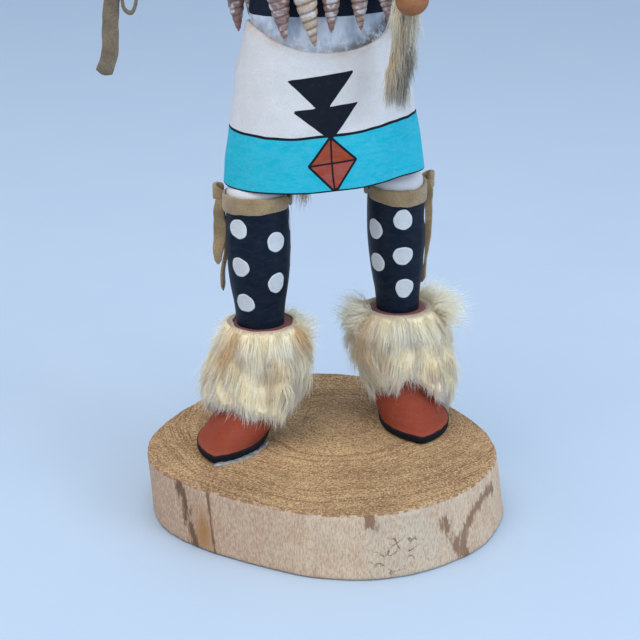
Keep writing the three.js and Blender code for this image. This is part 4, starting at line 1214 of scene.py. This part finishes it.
def arm_mesh(side, arm):
    """A round limb along a cubic path, its radius running on into an egg-shaped fist with the
    grooves between the curled fingers pressed in."""
    limb = smooth_path(arm["chain"], 60)
    path, radius = limb[:, :3], limb[:, 3]
    fist, size = np.array(arm["fist"]), np.array(arm["size"])
    swell = np.linspace(-0.62, 1.0, HAND_STEPS)
    hand_path = fist + unit(fist - path[-1]) * (swell * size.max())[:, None]
    hand_radius = size.mean() * np.sqrt(np.clip(1 - swell ** 2, 0.002, 1))
    path = np.concatenate([path[:ARM_STEPS], hand_path])
    radius = np.concatenate([radius[:ARM_STEPS], hand_radius])[:, None]
    ahead = unit(np.gradient(path, axis=0))
    level = unit(np.cross((0, 0, 1), ahead))
    over = np.cross(ahead, level)
    a = once_round(ARM_STEPS, 0)
    hand = np.append(np.zeros(ARM_STEPS), np.ones(HAND_STEPS))[:, None]
    along = np.append(np.zeros(ARM_STEPS), swell)[:, None]
    knuckle = hand * np.clip(np.cos(a), 0, 1) * np.cos(along * 11) * 0.35
    wide = radius * (1 + 0.05 * hand * np.cos(2 * a)) + knuckle
    grid = path[:, None] + level[:, None] * (wide * np.cos(a))[..., None]
    grid = grid + over[:, None] * (wide * np.sin(a))[..., None]
    grid += 0.14 * ripple(grid, 8, 71)[..., None] * (level[:, None] * np.cos(a)[..., None])
    share = np.append(np.linspace(0, 0.9, ARM_STEPS), np.ones(HAND_STEPS))[:, None]
    dot = np.min([np.linalg.norm(grid - grid[ring, step], axis=-1) for ring, step in SLEEVE_DOTS], axis=0)
    return skin(f"{side}_arm_carved", stand(grid), share=share, dot=dot - SLEEVE_DOT_RADIUS)


arm_paint, shader = plain_material("arm_paint")
sleeve = paint(LEG_BLACK, 0.15, worn=(42, 50, 67), wear=0.15)
palm = paint((144, 94, 60), 0.12, worn=(166, 117, 83), wear=0.3)
connect(shader, {
    "Base Color": layers(sleeve[0], (within(carried("dot"), 0.0), DOT_WHITE),
                         (spread(carried("share"), 0.845, 0.855), palm[0])),
    "Normal": bump(sleeve[1], 0.4, 0.0003), "Roughness": 0.55, "Specular IOR Level": 0.14})
for side, arm in ARMS.items():
    settle(f"{side}_arm_carved", arm_mesh(side, arm), arm_paint, "painted_arm", f"{side}_arm")

# ---- wrist tie
# A strap of grey-brown suede tied round the right wrist: band, knot, a curled loop in front and one
# long end that hangs straight down and turns out at its cut tip.

TIE_INNER = 5.4
TIE_THICKNESS = 1.3
TIE_MIDDLE = np.array((-78.6, 6.0, 214.2))
TIE_FRONT = TIE_MIDDLE - (0, TIE_INNER + TIE_THICKNESS, 0)
TIE_END = [(0, -1.4, -2), (-2.6, -2.2, -10), (-3.6, -1.6, -20), (-4.2, -1.4, -30), (-7, -1.2, -38.2)]
TIE_LOOP = [(0.6, -1.2, -1.6), (4.4, -1.6, -3.2), (6.4, -1.8, -9.5), (4.6, -2, -15.2), (1.6, -2, -13.6),
            (1, -1.8, -7), (0.4, -1.2, -2.6)]


def tie_grids():
    """The band round the wrist, a short knot, the hanging end and the loop, each a flat strap."""
    a = np.linspace(0, 2 * np.pi, 61)
    band = TIE_MIDDLE + (TIE_INNER + TIE_THICKNESS / 2) * at(0.0, np.cos(a), np.sin(a))
    t = np.linspace(0, 1, 26)
    wind = 2 * np.pi * 1.3 * t
    knot = TIE_FRONT + at(2.6 * np.cos(wind), -1.4 - 1.5 * np.sin(wind), 3.4 * (t - 0.5) - 2)
    end, loop = (smooth_path(TIE_FRONT + points, 60) for points in (TIE_END, TIE_LOOP))
    return [strap_grid(band, (4.2, 4.8, 4.8, 4.2), TIE_THICKNESS, (1, 0, 0.35), seed=81),
            strap_grid(knot, (3.4, 4.0, 3.4), 1.4, (0, 0, 1), seed=82),
            strap_grid(end, (4.6, 6.2, 6.4, 6.6), TIE_THICKNESS, (1, 0.1, -0.1), seed=83),
            strap_grid(loop, (4, 4.6, 4.6, 4), TIE_THICKNESS, (0.1, 1, 0), seed=84)]


grey_suede = suede_material("grey_suede", (133, 117, 94), (81, 67, 50))
settle("wrist_tie_suede", skin("wrist_tie_suede", *map(stand, tie_grids())), grey_suede, "grey_suede",
       "wrist_tie")

# ---- wrist fur and back pelt
# Two narrow strips of pelt with the hair pointing down: one hangs from the left wrist and ends in
# grey-brown tips, the other is tucked under the belt behind and its blond tuft hangs below the hem.

WRIST_FUR_STATIONS = [  # height, half width, half depth, x
    (169.5, 1.2, 1.0, 19.6), (175, 3.0, 2.6, 19.4), (185, 3.7, 3.2, 19.2), (194, 3.9, 3.8, 20.2),
    (201, 4.6, 4.6, 21.2), (207, 5.0, 5.0, 21.6), (210.5, 3.4, 3.2, 21.6)]
WRIST_FUR_Y = -35.5
WRIST_FUR_SPOTS = {"tan": [(-25, 190, 35, 7, 0.9), (-70, 178, 45, 9, 0.9), (20, 204, 60, 6, 0.6)],
                   "dark": [(25, 176, 50, 11, 1.0), (0, 166, 80, 6, 0.8), (-20, 191, 14, 5, 0.5)]}
PELT_STATIONS = [  # height, half width, half depth, y
    (104, 3.2, 1.2, 27.2), (112, 6.0, 2.6, 27.2), (128, 7.4, 3.2, 27.4), (143, 8.2, 3.4, 26.9),
    (160, 8.6, 3.4, 26.3), (177, 8.8, 3.3, 24.8), (192, 8.8, 3.2, 22.5), (202, 8.4, 2.6, 20.2),
    (211.5, 7.4, 2.0, 18.6)]
PELT_X = -5.2
PELT_SPOTS = {"tan": [(0, 116, 180, 22, 0.85), (180, 170, 80, 30, 0.5)], "dark": [(180, 150, 30, 40, 0.2)]}


def pelt_strip(name, stations, place, lengths, widths, count, spots, tone, seed):
    """A strip of pelt: a slim hide of oval sections, and hairs rooted over it that lie downwards."""
    section = smooth_through(stations)
    low, high = stations[0][0], stations[-1][0]

    def form(angle, z, thin):
        half_width, half_depth, shift = section(z)
        x, y = oval(half_width * thin, half_depth * thin, angle)
        middle_x, middle_y = place(shift, z)
        return at(x + middle_x, y + middle_y, z)

    z = np.linspace(low + 0.22 * (high - low), high, 40)[:, None]
    settle(f"{name}_hide", skin(f"{name}_hide", stand(form(once_round(40), z, 0.55))), rabbit_hide,
           "rabbit_fur", name)
    rng = np.random.default_rng(seed)
    angle = rng.uniform(-np.pi, np.pi, count)
    height = low + (high - low) * rng.uniform(0.2, 1.0, count)
    roots = form(angle, height, 0.5)
    out = unit(form(angle, height, 0.9) - roots)
    lie = 0.30 * out - (0, 0, 1) + 0.12 * rng.normal(size=(count, 3))
    lie[:, 0] += 0.12 * ripple(roots, 12, seed + 1)
    length = rng.uniform(*lengths, count)
    fields = {key: np.clip(patches(np.degrees(angle), height - length + 4, spots[key])
                           + 0.1 * rng.normal(size=count), 0, 0.95) for key in ("tan", "dark")}
    fields["tone"] = np.clip(tone + 0.05 * rng.normal(size=count), 0.7, 1.12)
    fields["ends"] = np.zeros(count)
    width = rng.uniform(*widths, count)
    coat = hairs(f"{name}_coat", roots, unit(lie), -0.18 * out, length, width, seed + 2, fields, 0.3, 90)
    settle(f"{name}_coat", coat, rabbit_hair, "rabbit_fur", name)


pelt_strip("wrist_fur", WRIST_FUR_STATIONS, lambda x, z: (x, WRIST_FUR_Y), (9, 17), (0.12, 0.22), 5200,
           WRIST_FUR_SPOTS, 0.86, 301)
pelt_strip("back_pelt", PELT_STATIONS, lambda y, z: (PELT_X - 0.13 * np.clip(150 - z, 0, 60), y),
           (10, 18), (0.16, 0.28), 3600, PELT_SPOTS, 0.98, 311)

# ---- head and ruff
# A plain round case mask with a domed top and two tab ears, painted in the kilt's turquoise, with
# two narrow eye slots. A collar of rabbit fur hides the joint at the neck.

HEAD_X = -3.0
HEAD_BOTTOM_Z = 262.3
HEAD_TOP_Z = 308.0
HEAD_RADIUS = 20.5
HEAD_SHARES = [  # share of the height, share of the radius
    (0, 0.9), (0.02, 0.955), (0.06, 0.98), (0.3, 1.0), (0.6, 0.99), (0.8, 0.95), (0.91, 0.82),
    (0.98, 0.52), (0.997, 0.25), (1.0, 0.05)]
SLOT_Z = 290.0
CROWN_Z = 300.0
CHIN_Z = 271.0
EAR_RADIUS = 8.5
EAR_THICKNESS = 3.2
EAR_Z = 287.0
EAR_ROWS = [  # share of the thickness, share of the radius
    (0.0, 0.5), (0, 0.9), (0.12, 0.97), (0.3, 1.0), (0.7, 1.0), (0.88, 0.97), (1.0, 0.9), (1.0, 0.5)]
RUFF_RADIUS = 17.0
RUFF_HALF_WIDTH = 4.7
RUFF_Z = 258.2
RUFF_HALF_HEIGHT = 3.0
RUFF_HAIRS = 4200


def head_mesh():
    """A turned drum: the share of the radius by height closes in a dome; slots are kept as the
    distance to two upright oblongs beside the middle of the front."""
    t = np.append(np.linspace(0, 0.9, 50), 0.9 + 0.1 * np.sin(np.linspace(0.05, 1, 26) * np.pi / 2))
    share = np.interp(t, *np.array(HEAD_SHARES).T)
    share = np.convolve(np.pad(share, 3, mode="edge"), np.ones(7) / 7, "valid")
    a = once_round(120)
    z = (HEAD_BOTTOM_Z + (HEAD_TOP_Z - HEAD_BOTTOM_Z) * t)[:, None]
    grid = outward(a) * (HEAD_RADIUS * share)[:, None, None] + at(HEAD_X, 0, z)
    slot = np.maximum(np.abs(np.abs(a * HEAD_RADIUS) - 7.0) - 2.9, np.abs(z - SLOT_Z) - 1.5)
    grow = 0.12 * ripple(grid, 12, 91) - 0.7 / (1 + np.exp(slot / 0.2))
    return skin("case_mask", stand(grid + outward(a) * grow[..., None]), mask=(slot, z - CROWN_Z, z - CHIN_Z))


def ear_mesh(name, way):
    """A round tab: circles of changing radius across its thickness, with a rounded edge."""
    t, share = columns(EAR_ROWS)
    a = once_round(64, 0)
    x = HEAD_X + way * (HEAD_RADIUS + 2) + EAR_RADIUS * share * np.cos(a)
    return skin(name, stand(at(x, EAR_THICKNESS * (t - 0.5), EAR_Z - EAR_RADIUS * share * np.sin(a))))


mask_paint, shader = plain_material("mask_paint")
slot, crown, chin = carried_three("mask")
face, height, roughness = paint(TURQUOISE, 0.05, TURQUOISE_WORN, 0.3)
top = paint(RUST, 0.06)[0]
bottom = paint(KILT_WHITE, 0.06)[0]
lines = maths("MAXIMUM", within(abs(crown), 0.5), within(slot, 0.1))
connect(shader, {
    "Base Color": layers(face, (spread(crown, -0.1, 0.1), top), (lines, PAINT_BLACK),
                         (spread(chin, -0.1, 0.1, 1.0, 0.0), bottom), (within(abs(chin), 0.5), PAINT_BLACK)),
    "Normal": bump(height, 0.35, 0.0003), "Roughness": roughness})
settle("case_mask", head_mesh(), mask_paint, "painted_mask", "head")

ear_paint, shader = plain_material("ear_paint")
rust, height, roughness = paint(RUST, 0.06, RUST_WORN, 0.2)
connect(shader, {"Base Color": rust, "Normal": bump(height, 0.35, 0.0003), "Roughness": roughness})
for name, way in (("right_ear", -1), ("left_ear", 1)):
    settle(name, ear_mesh(name, way), ear_paint, "painted_mask", "head")


def ruff_point(way, turn):
    """A place on the ruff's ring: its way round the neck and its turn round the section."""
    r = RUFF_RADIUS + RUFF_HALF_WIDTH * np.cos(turn)
    return at(HEAD_X + r * np.sin(way), -r * np.cos(way) * 0.92, RUFF_Z + RUFF_HALF_HEIGHT * np.sin(turn))


def ruff_hairs(count, seed):
    """Hairs rooted over the ring that lie outwards and droop."""
    rng = np.random.default_rng(seed)
    way, turn = rng.uniform(-np.pi, np.pi, count), rng.uniform(-0.9, np.pi * 0.9, count)
    roots = ruff_point(way, turn)
    lie = unit(outward(way) + 0.16 * rng.normal(size=(count, 3)) + (0, 0, 0.12))
    bend = np.tile((0, 0, -0.42), (count, 1))
    fields = {"tan": np.clip(0.25 + 0.3 * ripple(roots, 9, seed + 1), 0, 0.9), "dark": np.zeros(count),
              "ends": np.zeros(count), "tone": np.clip(1 + 0.05 * rng.normal(size=count), 0.7, 1.12)}
    length, width = rng.uniform(5, 9.5, count), rng.uniform(0.2, 0.36, count)
    return hairs("neck_ruff_coat", roots, lie, bend, length, width, seed + 2, fields, 0.3, 120)


ring = hoop("neck_ruff_hide", ruff_point(once_round(120).T, once_round(16, 0)))
settle("neck_ruff_hide", ring, rabbit_hide, "rabbit_fur", "neck_ruff")
settle("neck_ruff_coat", ruff_hairs(RUFF_HAIRS, 321), rabbit_hair, "rabbit_fur", "neck_ruff")
